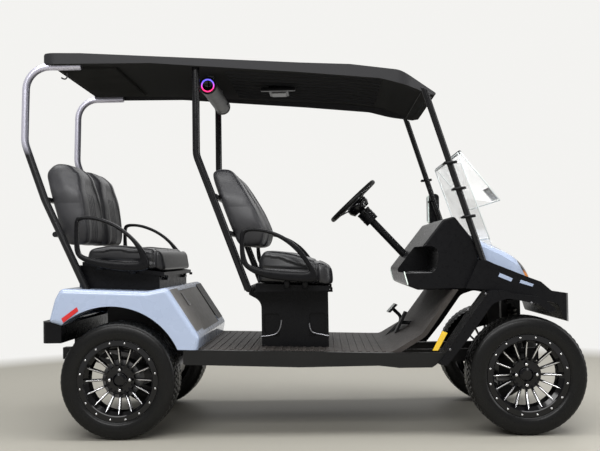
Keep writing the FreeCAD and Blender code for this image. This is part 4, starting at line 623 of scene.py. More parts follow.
def blown(obj, pinned, cap):
    """Blows a closed mesh up by pressure; the movement is capped and evened out."""
    before = [v.co.copy() for v in obj.data.vertices]
    group = obj.vertex_groups.new(name="held")
    group.add([v.index for v in obj.data.vertices if pinned(v.co)], 1.0, "REPLACE")
    cloth = obj.modifiers.new("swell", "CLOTH")
    cloth.settings.quality = 4
    cloth.settings.mass = 0.3
    cloth.settings.use_pressure = True
    cloth.settings.uniform_pressure_force = PRESSURE
    cloth.settings.effector_weights.gravity = 0
    cloth.settings.vertex_group_mass = "held"
    cloth.point_cache.frame_start = 1
    cloth.point_cache.frame_end = LAST_FRAME
    for number in range(1, LAST_FRAME + 1):
        bpy.context.scene.frame_set(number)
    mesh = settled(obj)
    bpy.context.scene.frame_set(1)
    drift = placed(obj.name + "_drift", mesh.copy())
    for vertex, start in zip(drift.data.vertices, before):
        move = vertex.co - start
        vertex.co = move * min(1.0, cap / max(move.length, 1e-6))
    smoothed(drift, 0.6, DRIFT_PASSES)
    for vertex, start, move in zip(mesh.vertices, before, evaluated(drift).vertices):
        vertex.co = start + move.co
    bpy.data.objects.remove(drift)


def swollen(name, node, keep, pinned, voxel, rounding, inset, cap):
    """Closed pad from a node's solid: remeshed, shrunk, blown up and divided once."""
    work = bmesh.new()
    work.from_mesh(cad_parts[node].data)
    bmesh.ops.delete(work, geom=[v for v in work.verts if not keep(v.co)], context="VERTS")
    mesh = bpy.data.meshes.new(name)
    work.to_mesh(mesh)
    work.free()
    mesh.materials.clear()
    obj = placed(name, mesh)
    remesh = obj.modifiers.new("even", "REMESH")
    remesh.mode = "VOXEL"
    remesh.voxel_size = voxel
    smoothed(obj, 0.6, rounding)
    mesh = settled(obj)
    normals = [v.normal.copy() for v in mesh.vertices]
    for vertex, normal in zip(mesh.vertices, normals):
        vertex.co -= normal * inset
    blown(obj, pinned, cap)
    smoothed(obj, 0.55, 12)
    divide = obj.modifiers.new("fine", "SUBSURF")
    divide.levels = 1
    divide.render_levels = 1
    settled(obj)
    return obj


def sewn(obj, depth_at):
    """Presses seams and channels into a pad: depth_at gives the depth at a point and its normal."""
    mesh = obj.data
    normals = [v.normal.copy() for v in mesh.vertices]
    for vertex, normal in zip(mesh.vertices, normals):
        depth = depth_at(vertex.co, normal)
        if depth:
            vertex.co -= normal * depth
    mesh.update()


def groove(distance, width, depth):
    """Rounded groove profile."""
    t = abs(distance) / width
    return depth * (1 - t * t) ** 2 if t < 1 else 0.0


def finished_pad(obj, node, body, material):
    obj.data.materials.clear()
    obj.data.materials.append(material)
    for face in obj.data.polygons:
        face.use_smooth = True
    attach(obj, body)
    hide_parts(node)


# Bolster seam of a back: shares of its height, and of its half width from the middle
BOLSTER_LINE = [(0.0, 0.66), (0.2, 0.70), (0.42, 0.66), (0.62, 0.50), (0.78, 0.36), (0.9, 0.33),
                (1.0, 0.40)]
CHANNEL_PITCH = 0.034
CHANNELS = (-1.5, -0.5, 0.5, 1.5)
CHANNEL_TOP = 0.66
END_PAD = 0.10

# Sewn grooves: width and depth
BOLSTER_SEAM = (0.016, 0.006)
CHANNEL_SEAM = (0.013, 0.003)
ROLL_SEAM = (0.016, 0.009)
END_SEAM = (0.018, 0.007)
MIDDLE_SEAM = (0.016, 0.005)
ARCH_SEAM = (0.014, 0.006)


def along_table(table, t):
    """Value of a smooth table at a place between its ends."""
    for (t0, a), (t1, b) in zip(table, table[1:]):
        if t <= t1:
            k = max(0.0, (t - t0) / (t1 - t0))
            k = k * k * (3 - 2 * k)
            return a + (b - a) * k
    return table[-1][1]


def beads(name, obj, lines, toward, body, radius=0.0014):
    """Sewn seams: fine beads laid on a pad along lines, each point dropped on it from one side."""
    mesh = obj.data
    tree = BVHTree.FromPolygons([v.co for v in mesh.vertices], [p.vertices for p in mesh.polygons])
    toward = Vector(toward).normalized()
    parts = []
    for line in lines:
        found = []
        for point in line:
            hit = tree.ray_cast(Vector(point) - toward * 0.4, toward)
            if hit[0] is not None:
                found.append(hit[0] + hit[1] * radius * 0.4)
        if len(found) < 3:
            continue
        found = [(found[max(0, i - 1)] + found[i] * 2 + found[min(len(found) - 1, i + 1)]) / 4
                 for i in range(len(found))]
        points = []
        for i, place in enumerate(found):
            along = (found[min(len(found) - 1, i + 1)] - found[max(0, i - 1)]).normalized()
            first = along.cross(toward).normalized()
            second = along.cross(first)
            points += [tuple(place + (first * math.cos(a) + second * math.sin(a)) * radius)
                       for a in (2 * math.pi * k / 6 for k in range(6))]
        parts.append((points, grid_faces(len(found), 6, close_columns=True)))
    return merged(name, parts, body, M["stitch"])


def make_backs(node, body, label, widen):
    """Bucket seat backs: a rounded bolster round a hollow middle with sewn channels."""
    low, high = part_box(node)
    outer, inner = high.y, 0.014
    middle_y = (outer + inner) / 2
    half = (outer - inner) / 2
    tall = high.z - low.z
    right = swollen(label + "_back_right", node, keep=lambda co: co.y < 0, pinned=lambda co: False,
                    voxel=0.0085, rounding=16, inset=0.001, cap=0.010)

    def height(co):
        return min(1.0, max(0.0, (co.z - low.z) / tall))

    for vertex in right.data.vertices:
        co = vertex.co
        t = height(co)
        y = -middle_y + (co.y + middle_y) * (1 + widen * max(0.0, t - 0.5) * 2)
        co.y = max(-outer, min(-inner, y))
        co.z += 0.006 * t

    def depth_at(co, normal):
        if normal.x < 0.1:
            return 0.0
        t = height(co)
        u = abs(co.y + middle_y) / half
        line = along_table(BOLSTER_LINE, t)
        fade = min(1.0, (normal.x - 0.1) * 5)
        depth = groove((u - line) * half, *BOLSTER_SEAM)
        if u < line:
            depth += 0.012 * (1 - (u / line) ** 4) * min(1.0, (1 - t) * 4, t * 5 + 0.2)
            if t < CHANNEL_TOP:
                for k in CHANNELS:
                    channel = groove((co.y + middle_y) - k * CHANNEL_PITCH, *CHANNEL_SEAM)
                    depth += channel * min(1.0, (CHANNEL_TOP - t) * 8)
        return depth * fade

    sewn(right, depth_at)
    mesh = right.data.copy()
    for vertex in mesh.vertices:
        vertex.co.y = -vertex.co.y
    mesh.flip_normals()
    left = placed(label + "_back_left", mesh)
    # The backs take the lighter vinyl, which carries painted light.
    for obj in (right, left):
        finished_pad(obj, node, body, M["back_hide_painted_light"])
    for obj, (tag, hand) in zip((right, left), SIDES):
        lines = []
        for sign in (-1, 1):
            line = []
            for t in (0.02 + 0.93 * i / 60 for i in range(61)):
                y = hand * middle_y + sign * half * along_table(BOLSTER_LINE, t)
                line.append((low.x, y, low.z + tall * t))
            lines.append(line)
        for k in CHANNELS:
            lines.append([(low.x, hand * middle_y + k * CHANNEL_PITCH, low.z + tall * t)
                          for t in (0.03 + 0.60 * i / 36 for i in range(37))])
        beads("%s_back_seams_%s" % (label, tag), obj, lines, (-1, 0, 0), body)


def make_cushion(node, body, label, share, dome_share):
    """Bench cushion with a domed pad at each end and a separate roll along its front."""
    low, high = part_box(node)
    obj = swollen(label + "_cushion", node, keep=lambda co: True, pinned=lambda co: co.z < low.z + 0.03,
                  voxel=0.0105, rounding=8, inset=0.004, cap=0.010)
    roll = high.x - share * (high.x - low.x)
    side = high.y

    def along(x):
        """Share of the way from the cushion's back to its roll."""
        return (x - low.x) / (roll - low.x)

    def arch(x):
        """Level of the seam below the end pad."""
        k = min(1.0, max(0.0, along(x)))
        return low.z + (high.z - low.z) * (dome_share + 0.10 * (1 - k))

    def depth_at(co, normal):
        depth = groove(co.x - roll, *ROLL_SEAM) if normal.x < 0.7 else 0.0
        from_end = side - abs(co.y)
        if normal.z > 0.2 and co.x < roll:
            depth += groove(from_end - END_PAD, *END_SEAM)
            if from_end < END_PAD:
                depth -= 0.009 * math.sin(math.pi * along(co.x)) * (1 - (from_end / END_PAD) ** 2)
            if from_end > END_PAD:
                bowl = min(1.0, (from_end - END_PAD) / 0.06) * min(1.0, (roll - co.x) / 0.05)
                depth += 0.008 * bowl
            depth += groove(co.y, *MIDDLE_SEAM)
        elif from_end < 0.05 and co.x < roll:
            depth += groove(co.z - arch(co.x), *ARCH_SEAM)
        return depth

    sewn(obj, depth_at)
    finished_pad(obj, node, body, M["hide"])
    lines = [[(roll, side * (2 * i / 60 - 1) * 0.985, high.z) for i in range(61)]]
    stations = [low.x + (roll - low.x) * i / 30 for i in range(30)]
    for hand in (-1, 1):
        lines.append([(x, hand * (side - END_PAD), high.z) for x in stations[2:]])
    beads(label + "_cushion_seams", obj, lines, (0, 0, -1), body)
    for tag, hand in SIDES:
        y = hand * (side + 0.02)
        lines = [[(x, y, arch(x)) for x in stations[1:]],
                 [(roll, y, low.z + (high.z - low.z) * i / 20) for i in range(2, 19)]]
        beads("%s_end_seams_%s" % (label, tag), obj, lines, (0, -hand, 0), body)


# Plates and boxes

CUBE_FACES = [(0, 1, 3, 2), (4, 6, 7, 5), (0, 4, 5, 1), (2, 3, 7, 6), (0, 2, 6, 4), (1, 5, 7, 3)]


def cube(low, high):
    """Points and faces of a box given by two opposite corners."""
    (x0, y0, z0), (x1, y1, z1) = low, high
    return [(x, y, z) for x in (x0, x1) for y in (y0, y1) for z in (z0, z1)], CUBE_FACES


def slab(name, corners, thick, body, material, bevel=0.0015):
    """Flat plate on a polygon of points in space, thickened along its normal."""
    corners = [Vector(c) for c in corners]
    normal = (corners[1] - corners[0]).cross(corners[2] - corners[1]).normalized() * thick
    count = len(corners)
    points = corners + [c + normal for c in corners]
    faces = [tuple(reversed(range(count))), tuple(range(count, 2 * count))]
    faces += [(i, (i + 1) % count, (i + 1) % count + count, i + count) for i in range(count)]
    obj = link(name, mesh_of(name, points, faces), body, material)
    return bevelled(obj, bevel) if bevel else obj


def boxes(name, spans, body, material, bevel=0.0012):
    """One object of several boxes given by their low and high corners."""
    obj = merged(name, [cube(low, high) for low, high in spans], body, material)
    return bevelled(obj, bevel) if bevel else obj


# Roof: lamp, bar, rear tray and its hook


def make_roof_fittings():
    lamp_x = -0.118
    for name, size, place, finish, bevel in (
            ("roof_lamp", (0.11, 0.16, 0.035), (lamp_x, 0, 1.812), "plastic", 0.006),
            ("roof_lamp_lens", (0.08, 0.12, 0.008), (lamp_x, 0, 1.7925), "shelf", 0.003),
            ("roof_bar", (0.19, 0.035, 0.02), (lamp_x, -0.12, 1.800), "plastic", 0.006)):
        block(name, size, Matrix.Translation(place), "chassis", M[finish], bevel)
    x0, x1 = station(-0.165), station(-0.02)
    boxes("roof_tray", [((x0, -0.40, 1.868), (x1, 0.40, 1.8975))], "chassis", M["tray"],
          0.008)
    hook = [(0.02, 1.87), (0.022, 1.845), (0.005, 1.83), (-0.012, 1.842)]
    smooth_curve("roof_hook", [(x0 + x, -0.36, z) for x, z in hook], 0.004, "chassis",
                 M["steel"])


# Sound bar: lit end rings, caps and buttons


def make_sound_bar():
    x, z = station(0.2135), 1.786
    cap = [(0.0465, 0.0), (0.044, 0.004), (0.036, 0.004), (0.035, 0.001), (0.0005, 0.001)]
    ring = [(0.0345, 0.001), (0.0335, 0.0038), (0.0295, 0.0038), (0.0285, 0.001)]
    for tag, hand in SIDES:
        end, axis = (x, hand * 0.35, z), (0, hand, 0)
        for name, rows, count, finish in (("cap", cap, 48, "gloss"), ("ring", ring, 64, "ring_light")):
            merged("sound_%s_%s" % (name, tag), [turned_about(end, axis, rows, count)], "chassis",
                   M[finish])
    studs = [dome((x + 0.043, 0.20 + 0.028 * k, z - 0.008), (1, 0, -0.2), 0.007, 0.003)
             for k in range(4)]
    merged("sound_buttons", studs, "chassis", M["plastic"])


# Windshield: glowing pane edges as painted highlights, catches, hinge bar and a blank sticker


def pane_edge_glints(name, x0, z0, x1, z1):
    """Pale glowing edges round a pane that runs between two levels: the acrylic's pale edge tint, lit up
    as painted highlights.
    """
    half, w = 0.4802, 0.0035
    lines = [((x0, -half, z0), (x1, -half, z1)), ((x0, half, z0), (x1, half, z1)),
             ((x0, -half, z0), (x0, half, z0)), ((x1, -half, z1), (x1, half, z1))]
    parts = []
    for a, b in lines:
        run = Vector(b) - Vector(a)
        parts.append(turned_about(a, run, bar_rows(w, run.length, 0.0002, 0.0002, 0.0002), 10))
    return merged(name, parts, "chassis", M["glass_edge_painted_glint"])


def make_windshield_trim():
    pane_edge_glints("pane_edges_upper", station(0.8577), 1.3965, station(0.9547), 1.1505)
    pane_edge_glints("pane_edges_lower", station(0.9265), 0.957, station(0.8522), 1.3925)
    (top, top_z), (foot, foot_z) = (0.752, 1.82), (0.9133, 0.80)
    knob = [(0.0005, 0.0), (0.0075, 0.002), (0.0085, 0.03), (0.0075, 0.066), (0.0005, 0.068)]
    parts = []
    for z in (1.335, 1.205, 1.065):
        x = station(top + (foot - top) * (z - top_z) / (foot_z - top_z))
        for hand in (-1, 1):
            for lift in (0.0, 0.030):
                parts.append(turned_about((x - 0.030 + lift, hand * 0.500, z), (0, hand, 0),
                                          bar_rows(0.006, 0.052), 12))
            parts.append(turned_about((x - 0.034, hand * 0.545, z), (1, 0, 0.1), knob, 14))
    parts.append(turned_about((station(0.8565), -0.478, 1.397), (0, 1, 0),
                              bar_rows(0.009, 0.956, 0.001, 0.001), 14))
    catches = merged("screen_catches", parts, "chassis", M["plastic"])
    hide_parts("windshield_clips")
    a, b = Vector((station(0.9535), 0, 1.150)), Vector((station(0.8565), 0, 1.397))
    along = (b - a).normalized()
    ahead = Vector((along.z, 0, -along.x)) * 0.0056
    low, high = a + along * 0.006 + ahead, a + along * 0.082 + ahead
    near, far = -0.477, -0.28
    corners = [(low.x, near, low.z), (low.x, far, low.z), (high.x, far, high.z), (high.x, near, high.z)]
    slab("windshield_sticker", corners, 0.0006, "chassis", M["sticker"], 0)


# Mirror


def make_mirror_glass():
    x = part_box("side_mirror")[0].x
    # Pale glowing rim round the mirror face: painted highlight.
    boxes("mirror_rim_painted_glint", [((x - 0.006, 0.557, 1.080), (x + 0.001, 0.637, 1.246))], "chassis",
          M["pale_painted_glint"], 0.001)
    boxes("mirror_face", [((x - 0.0075, 0.565, 1.088), (x - 0.0055, 0.631, 1.238))], "chassis",
          M["mirror"], 0.0008)


# Nose and sides: slot inserts, reflectors, tail lamps and bolts. The plan of the nose is Y over
# shares of the wheelbase.

NOSE_PLAN = [(0.85, 0.542), (0.95, 0.542), (1.03, 0.504), (1.1185, 0.450)]


def nose_y(x):
    """Side of the nose at a station, from its plan."""
    s = (x - REAR_X) / WHEELBASE
    for (a, ya), (b, yb) in zip(NOSE_PLAN, NOSE_PLAN[1:]):
        if s <= b:
            return ya + (yb - ya) * (s - a) / (b - a)
    return NOSE_PLAN[-1][1]


def side_slab(name, side, outline, y, thick, material, bevel):
    """Plate on one side of the cart, over an outline of X and Z; y is a number or a function of X."""
    tag, hand = side
    corners = [(x, hand * (y(x) if callable(y) else y), z) for x, z in outline]
    slab("%s_%s" % (name, tag), corners[::-hand], thick, "chassis", material, bevel)


def make_nose_trim():
    slots = {"slot_rear": [(0.978, 0.768), (1.042, 0.741), (1.052, 0.757), (0.986, 0.786)],
             "slot_front": [(1.086, 0.735), (1.152, 0.714), (1.160, 0.726), (1.094, 0.750)]}
    for name, outline in slots.items():
        for side in SIDES:
            side_slab(name, side, outline, lambda x: nose_y(x) + 0.0004, 0.003,
                      M["paint"], 0.001)
    front = [(0.640, 0.412), (0.668, 0.412), (0.716, 0.498), (0.690, 0.508)]
    rear = [(-1.186, 0.596), (-1.176, 0.574), (-1.100, 0.632), (-1.108, 0.652)]
    for side in SIDES:
        tag, hand = side
        side_slab("reflector_front", side, front, 0.588, 0.012, M["yellow"], 0.003)
        side_slab("reflector_rear", side, rear, 0.5985, 0.004, M["red"], 0.002)
        place = Matrix.Translation((station(-0.1725) + 0.004, hand * 0.42, 0.628))
        block("tail_lamp_" + tag, (0.012, 0.10, 0.05), place @ Matrix.Rotation(-0.27, 4, "Y"), "chassis",
              M["red"], 0.004)
    bolts = ((0.812, 0.612), (0.722, 0.420), (0.900, 0.688), (1.120, 0.640))
    flare = [dome((x, hand * 0.628, z), (0, hand, 0), 0.006, 0.003)
             for tag, hand in SIDES for x, z in bolts]
    merged("flare_bolts", flare, "chassis", M["steel"])
    hitch = [dome((station(-0.1595), y, z), (-1, 0, 0), 0.009, 0.006)
             for y in (-0.19, -0.10, 0.10, 0.19) for z in (0.355, 0.43)]
    merged("hitch_bolts", hitch, "chassis", M["bright"])


# Dashboard, floor mat and brake pedal

RIBS = 25
RIB_STATIONS = (0.178, 0.655)
PEDESTAL_STATIONS = (0.338, 0.525)


def make_cab_trim():
    # Pale glowing strips on the dash's ends: painted highlights.
    strip = [(0.5205, 0.800), (0.5165, 0.797), (0.5335, 0.732), (0.5375, 0.735)]
    for side in SIDES:
        side_slab("dash_painted_glint", side, strip, 0.4905, 0.0105, M["pale_painted_glint"], 0.001)
    shelf = ((station(0.735), -0.499, 0.7895), (station(0.788), -0.064, 0.7935))
    boxes("pocket_shelf", [shelf], "chassis", M["shelf"], 0.0015)
    first, last = RIB_STATIONS
    rear, front = PEDESTAL_STATIONS
    spans = []
    for i in range(RIBS):
        share = first + (last - first) * i / (RIBS - 1)
        x, z = station(share), 0.433 - 0.0575 * (share - 0.1595)
        beside = x - 0.009 < station(front) and x + 0.009 > station(rear)
        for y0, y1 in ((-0.55, -0.36), (0.36, 0.55)) if beside else ((-0.55, 0.55),):
            spans.append(((x - 0.009, y0, z - 0.002), (x + 0.009, y1, z + 0.0035)))
    boxes("mat_ribs", spans, "chassis", M["mat"], 0.002)
    (x0, z0), (x1, z1) = ((station(s) - 0.001, z) for s, z in ((0.6905, 0.5547), (0.712, 0.6003)))
    slab("brake_face", [(x0, 0.203, z0), (x0, 0.307, z0), (x1, 0.307, z1), (x1, 0.203, z1)], 0.003,
         "chassis", M["pale_pad"], 0.001)


# Rear panel: charging slot, lines and side plates; and the seat stops


def make_rear_trim():
    top, foot = Vector((station(0.1205), 0, 0.742)), Vector((station(0.2), 0, 0.493))
    along = (foot - top).normalized()
    out = Vector((-along.z, 0, along.x))

    def at(t, y, lift=0.0):
        """Point over the panel, t metres down its slope."""
        p = top + along * t + out * (lift - 0.0022)
        return (p.x, y, p.z)

    def on_panel(name, t0, t1, y0, y1, lift, thick, material):
        corners = [at(t, y, lift) for t, y in ((t1, y0), (t1, y1), (t0, y1), (t0, y0))]
        slab(name, corners, thick, "chassis", material, 0.001)

    on_panel("charge_slot", 0.045, 0.125, -0.31, -0.24, 0.0004, 0.003, M["gloss"])
    lines = []
    for y in (-0.3466, 0.3466):
        a, b = Vector(at(0.03, y)), Vector(at(0.236, y))
        lines.append(turned_about(a, b - a, bar_rows(0.0035, (b - a).length, 0.0002, 0.0, 0.0002), 8))
    merged("panel_lines", lines, "chassis", M["plastic"])
    # Near side plate in the grey-taupe panel colour, which is painted reflection; the far plate keeps
    # the black of the plastic.
    on_panel("panel_side_near_painted_reflection", 0.016, 0.262, -0.572, -0.3506, 0.0012, 0.0035, M["panel"])
    on_panel("panel_side_far", 0.016, 0.262, 0.3506, 0.572, 0.0012, 0.0035, M["plastic"])
    stops = [turned_about((x, y, 0.7995), (0, 0, -1), bar_rows(0.009, 0.014), 14)
             for x in (-0.725, -0.690) for y in (-0.43, 0.43)]
    merged("seat_stops", stops, "rear_seat", M["plastic"])


# Hip restraints: outer and inner line of each loop in X and Z, and its tabs, each from and to a
# share of the wheelbase and a level


def closed_line(control, steps):
    """Points of a closed smooth line inside a polygon."""
    count = len(control)
    control = [Vector(p) for p in control]
    made = []
    for i in range(count):
        a, b, c = (control[(i + k) % count] for k in (-1, 0, 1))
        start, end = (a + b) / 2, (b + c) / 2
        for k in range(steps):
            t = k / steps
            made.append(start * (1 - t) ** 2 + b * 2 * t * (1 - t) + end * t * t)
    return made


FRONT_LOOP = [
    (-0.2968, 0.8565), (-0.3006, 0.9352), (-0.2995, 1.0095), (-0.2769, 1.0290),
    (-0.2272, 1.0311), (-0.1693, 1.0226), (-0.0989, 0.9986), (-0.0401, 0.9615),
    (-0.0035, 0.9278), (0.0279, 0.8877), (0.0569, 0.8453), (0.0823, 0.8030), (0.0867, 0.7709),
    (0.0676, 0.7514), (-0.0384, 0.7600), (-0.1717, 0.7759), (-0.2553, 0.8133)]
FRONT_HOLE = [
    (-0.2645, 0.8580), (-0.2785, 0.9200), (-0.2783, 0.9968), (-0.2623, 1.0114),
    (-0.2225, 1.0131), (-0.1755, 1.0064), (-0.1189, 0.9851), (-0.0699, 0.9546),
    (-0.0308, 0.9208), (0.0007, 0.8842), (0.0272, 0.8458), (0.0455, 0.8183), (0.0365, 0.8072),
    (-0.0031, 0.8068), (-0.1018, 0.8133), (-0.1956, 0.8262), (-0.2449, 0.8423)]
REAR_LOOP = [
    (-1.1269, 0.9051), (-1.1261, 0.9991), (-1.1254, 1.0863), (-1.1006, 1.1043),
    (-1.0480, 1.1034), (-0.9940, 1.0934), (-0.9282, 1.0664), (-0.8710, 1.0296),
    (-0.8240, 0.9865), (-0.7895, 0.9462), (-0.7650, 0.9086), (-0.7523, 0.8686),
    (-0.7528, 0.8340), (-0.7909, 0.8222), (-0.8856, 0.8237), (-0.9829, 0.8402),
    (-1.0651, 0.8663)]
REAR_HOLE = [
    (-1.1007, 0.9216), (-1.1076, 0.9988), (-1.1069, 1.0735), (-1.0933, 1.0852),
    (-1.0482, 1.0859), (-1.0007, 1.0756), (-0.9393, 1.0517), (-0.8886, 1.0199),
    (-0.8441, 0.9814), (-0.8145, 0.9392), (-0.7975, 0.8992), (-0.7977, 0.8793),
    (-0.8178, 0.8697), (-0.8852, 0.8708), (-0.9825, 0.8814), (-1.0549, 0.8975),
    (-1.0848, 0.9074)]
FRONT_TABS = [(0.41, 0.423, 0.722, 0.795), (0.455, 0.468, 0.722, 0.785)]
REAR_TABS = [(-0.06, -0.047, 0.835, 0.878), (0.0225, 0.0355, 0.812, 0.85)]
LOOP_Y, LOOP_HALF_WIDTH = 0.5615, 0.0195
TAB_SPAN = (0.4705, 0.555)


def make_restraints():
    """Smooth loops of a soft flat section, on their tabs."""
    section = [(math.cos(a), math.sin(a)) for a in (2 * math.pi * k / 20 for k in range(20))]
    section = [(math.copysign(abs(u) ** 0.6, u), math.copysign(abs(v) ** 0.6, v)) for u, v in section]
    for label, outer, hole, tabs in (("front", FRONT_LOOP, FRONT_HOLE, FRONT_TABS),
                                     ("rear", REAR_LOOP, REAR_HOLE, REAR_TABS)):
        outer, hole = closed_line(outer, 4), closed_line(hole, 4)
        faces = grid_faces(len(outer), len(section), close_rows=True, close_columns=True)
        for tag, hand in SIDES:
            points = []
            for a, b in zip(outer, hole):
                centre, reach = (a + b) / 2, (a - b) / 2
                points += [(centre.x + reach.x * u, hand * LOOP_Y + LOOP_HALF_WIDTH * v,
                            centre.y + reach.y * u) for u, v in section]
            parts = [(points, faces)]
            parts += [cube((station(x0), hand * TAB_SPAN[0], z0), (station(x1), hand * TAB_SPAN[1], z1))
                      for x0, x1, z0, z1 in tabs]
            obj = merged("%s_restraint_%s" % (label, tag), parts, label + "_seat",
                         M["plastic"])
            work = bmesh.new()
            work.from_mesh(obj.data)
            bmesh.ops.recalc_face_normals(work, faces=work.faces)
            work.to_mesh(obj.data)
            work.free()
            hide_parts(label + "_armrests")


# Steering wheel and column


def wheel_frame():
    """Matrix of the steering wheel's centre, its z pointing at the driver."""
    slope = math.radians(42.7)
    up = Vector((-math.sin(slope), 0, math.cos(slope)))
    fore = Vector((math.cos(slope), 0, math.sin(slope)))
    turn = Matrix((fore, Vector((0, 1, 0)), up)).transposed().to_4x4()
    return Matrix.Translation((station(0.5975), 0.27, 1.203)) @ turn


def make_wheel_trim():
    place = wheel_frame()
    origin, axis = place.translation, place.to_3x3() @ Vector((0, 0, 1))
    boss = [(0.0005, -0.006), (0.036, -0.008), (0.056, -0.015), (0.068, -0.028), (0.068, -0.050),
            (0.054, -0.075)]
    merged("wheel_boss", [turned_about(origin, axis, boss, 36)], "steering_wheel",
           M["gloss"])
    rib = [(0.0425, 0.0), (0.0436, -0.002), (0.0436, -0.006), (0.0425, -0.008)]
    ribs = [turned_about(origin + axis * (-0.085 - 0.024 * k), axis, rib, 36) for k in range(3)]
    merged("collar_ribs", ribs, "chassis", M["plastic"])
    foot, tip = (place @ Vector(p) for p in ((0.0, -0.040, -0.10), (-0.01, -0.150, -0.085)))
    lever = [tuple(p) for p in (foot, foot.lerp(tip, 0.5), tip)]
    smooth_curve("signal_lever", lever, 0.006, "chassis", M["plastic"])


# Pedestal flutes: silver beads as painted highlights, and rounded edges on the pieces of the frame

REAR_FLUTE_GLINT = [(-0.2161, 0.4733), (-0.1585, 0.4745), (-0.1135, 0.4997), (-0.1080, 0.5564)]
FRONT_FLUTE_GLINT = [(0.0363, 0.5388), (0.0387, 0.4975), (0.0695, 0.4831), (0.1365, 0.4713)]
EDGE_WIDTHS = {
    0.002: "steering_wheel tow_bracket rear_access_panel pedals",
    0.003: "floor_pan rear_body dashboard front_seat_pan rear_seat_pan headlights frame",
    0.004: "front_cowl roof front_pedestal rear_seat_base",
    0.005: "fender_flares",
    0.006: "side_sills front_fascia side_mirror",
    0.008: "rear_bumper",
}


def make_flute_glints():
    """Bright silver beads at the foot of the pedestal's flutes: painted highlights on the black plastic.
    """
    for tag, hand in SIDES:
        for name, line in (("rear", REAR_FLUTE_GLINT), ("front", FRONT_FLUTE_GLINT)):
            smooth_curve("flute_%s_%s" % (name, tag), [(x, hand * 0.3535, z) for x, z in line], 0.0045,
                         "chassis", M["silver_and_painted_glint"])


def soften_edges():
    for width, names in EDGE_WIDTHS.items():
        for name in names.split():
            bevelled(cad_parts[name], width, 2, 28)


for corner in HUBS:
    make_tyre(corner)
    make_crests(corner)
make_backs("front_seat_backs", "chassis", "front", 0.12)
make_backs("rear_seat_backs", "chassis", "rear", 0.16)
make_cushion("front_seat_cushion", "front_seat", "front", 0.23, 0.42)
make_cushion("rear_seat_cushion", "rear_seat", "rear", 0.13, 0.40)
make_roof_fittings()
make_sound_bar()
make_windshield_trim()
make_mirror_glass()
make_nose_trim()
make_cab_trim()
make_rear_trim()
make_restraints()
make_wheel_trim()
make_flute_glints()
soften_edges()


# Stage, light and camera. The camera is that of the photograph, with its turn, tilt and roll in
# degrees; each light has its place, the level that it looks at, its size and its power.

CAMERA_PLACE = (0.1213, -5.14597, 0.88458)
CAMERA_TURNS = (1.49792, 1.90880, -0.94705)
CAMERA_LENS = 55.42
LIGHTS = {
    "ceiling": ((0.0, -0.6, 5.2), 0.5, (7.0, 4.0), 400),
    "camera_side": ((-1.0, -6.5, 4.6), 0.8, (6.0, 2.0), 330),
    "front_end": ((6.0, -1.5, 2.6), 0.9, (2.0, 3.0), 110),
    "far_side": ((1.0, 5.5, 3.6), 0.8, (6.0, 2.5), 60),
}
WHITE = (0.90, 0.895, 0.875, 1)


def floor_material():
    """Beige-grey ground that fades to the white background some metres from the cart."""
    material = principled("pale_floor", (0.36, 0.345, 0.30), 0.6)
    shader, out = (material.node_tree.nodes[name] for name in ("Principled BSDF", "Material Output"))
    far = add(material, "ShaderNodeVectorMath", operation="LENGTH")
    wire(material, coordinates(material), far.inputs[0])
    fade = ranged(material, far.outputs["Value"], 3.5, 4.3, 0.0, 1.0)
    white = add(material, "ShaderNodeEmission")
    white.inputs["Color"].default_value = WHITE
    blend = add(material, "ShaderNodeMixShader")
    wire(material, fade, blend.inputs["Fac"])
    wire(material, shader.outputs["BSDF"], blend.inputs[1])
    wire(material, white.outputs["Emission"], blend.inputs[2])
    wire(material, blend.outputs["Shader"], out.inputs["Surface"])
    return material


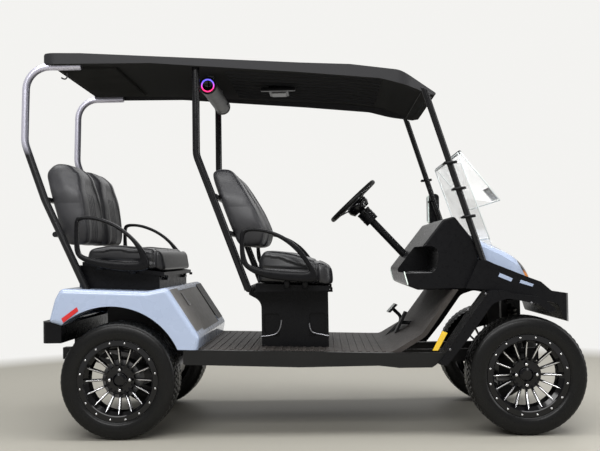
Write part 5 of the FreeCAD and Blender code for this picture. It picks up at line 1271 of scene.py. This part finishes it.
def make_floor():
    count, radius = 96, 9.5
    turns = [2 * math.pi * i / count for i in range(count)]
    rim = [(radius * math.cos(t), radius * math.sin(t), 0) for t in turns]
    floor = placed("floor", mesh_of("floor", rim, [tuple(range(count))]))
    floor.data.materials.append(floor_material())


def area(name, place, aim, size, power):
    lamp = bpy.data.lights.new(name, "AREA")
    lamp.shape = "RECTANGLE"
    lamp.size, lamp.size_y = size
    lamp.energy = power
    obj = placed(name, lamp)
    obj.location = place
    obj.rotation_euler = (Vector(aim) - Vector(place)).to_track_quat("-Z", "Y").to_euler()


def make_world():
    """Soft light all round; the camera sees white, also through the windshield."""
    world = bpy.data.worlds.new("studio")
    world.use_nodes = True
    bpy.context.scene.world = world
    world.node_tree.nodes.clear()
    path = add(world, "ShaderNodeLightPath")
    seen = add(world, "ShaderNodeMath", operation="MAXIMUM")
    wire(world, path.outputs["Is Camera Ray"], seen.inputs[0])
    wire(world, path.outputs["Is Transmission Ray"], seen.inputs[1])
    blend = add(world, "ShaderNodeMixShader")
    wire(world, seen.outputs[0], blend.inputs["Fac"])
    for entry, color, strength in ((1, (1.0, 0.99, 0.97, 1), 0.34), (2, WHITE, 1.0)):
        light = add(world, "ShaderNodeBackground")
        light.inputs["Color"].default_value = color
        light.inputs["Strength"].default_value = strength
        wire(world, light.outputs["Background"], blend.inputs[entry])
    out = add(world, "ShaderNodeOutputWorld")
    wire(world, blend.outputs["Shader"], out.inputs["Surface"])


def make_camera():
    lens = bpy.data.cameras.new("camera")
    lens.sensor_fit = "HORIZONTAL"
    lens.sensor_width = 36
    lens.lens = CAMERA_LENS
    camera = placed("camera", lens)
    yaw, pitch, roll = (math.radians(v) for v in CAMERA_TURNS)
    turn = (Matrix.Rotation(yaw, 4, "Z") @ Matrix.Rotation(math.pi / 2 + pitch, 4, "X")
            @ Matrix.Rotation(roll, 4, "Z"))
    camera.matrix_world = Matrix.Translation(CAMERA_PLACE) @ turn
    bpy.context.scene.camera = camera


make_floor()
for name, (place, level, size, power) in LIGHTS.items():
    area(name, place, (0, 0, level), size, power)
make_world()
make_camera()
bpy.context.scene.view_settings.view_transform = "Standard"
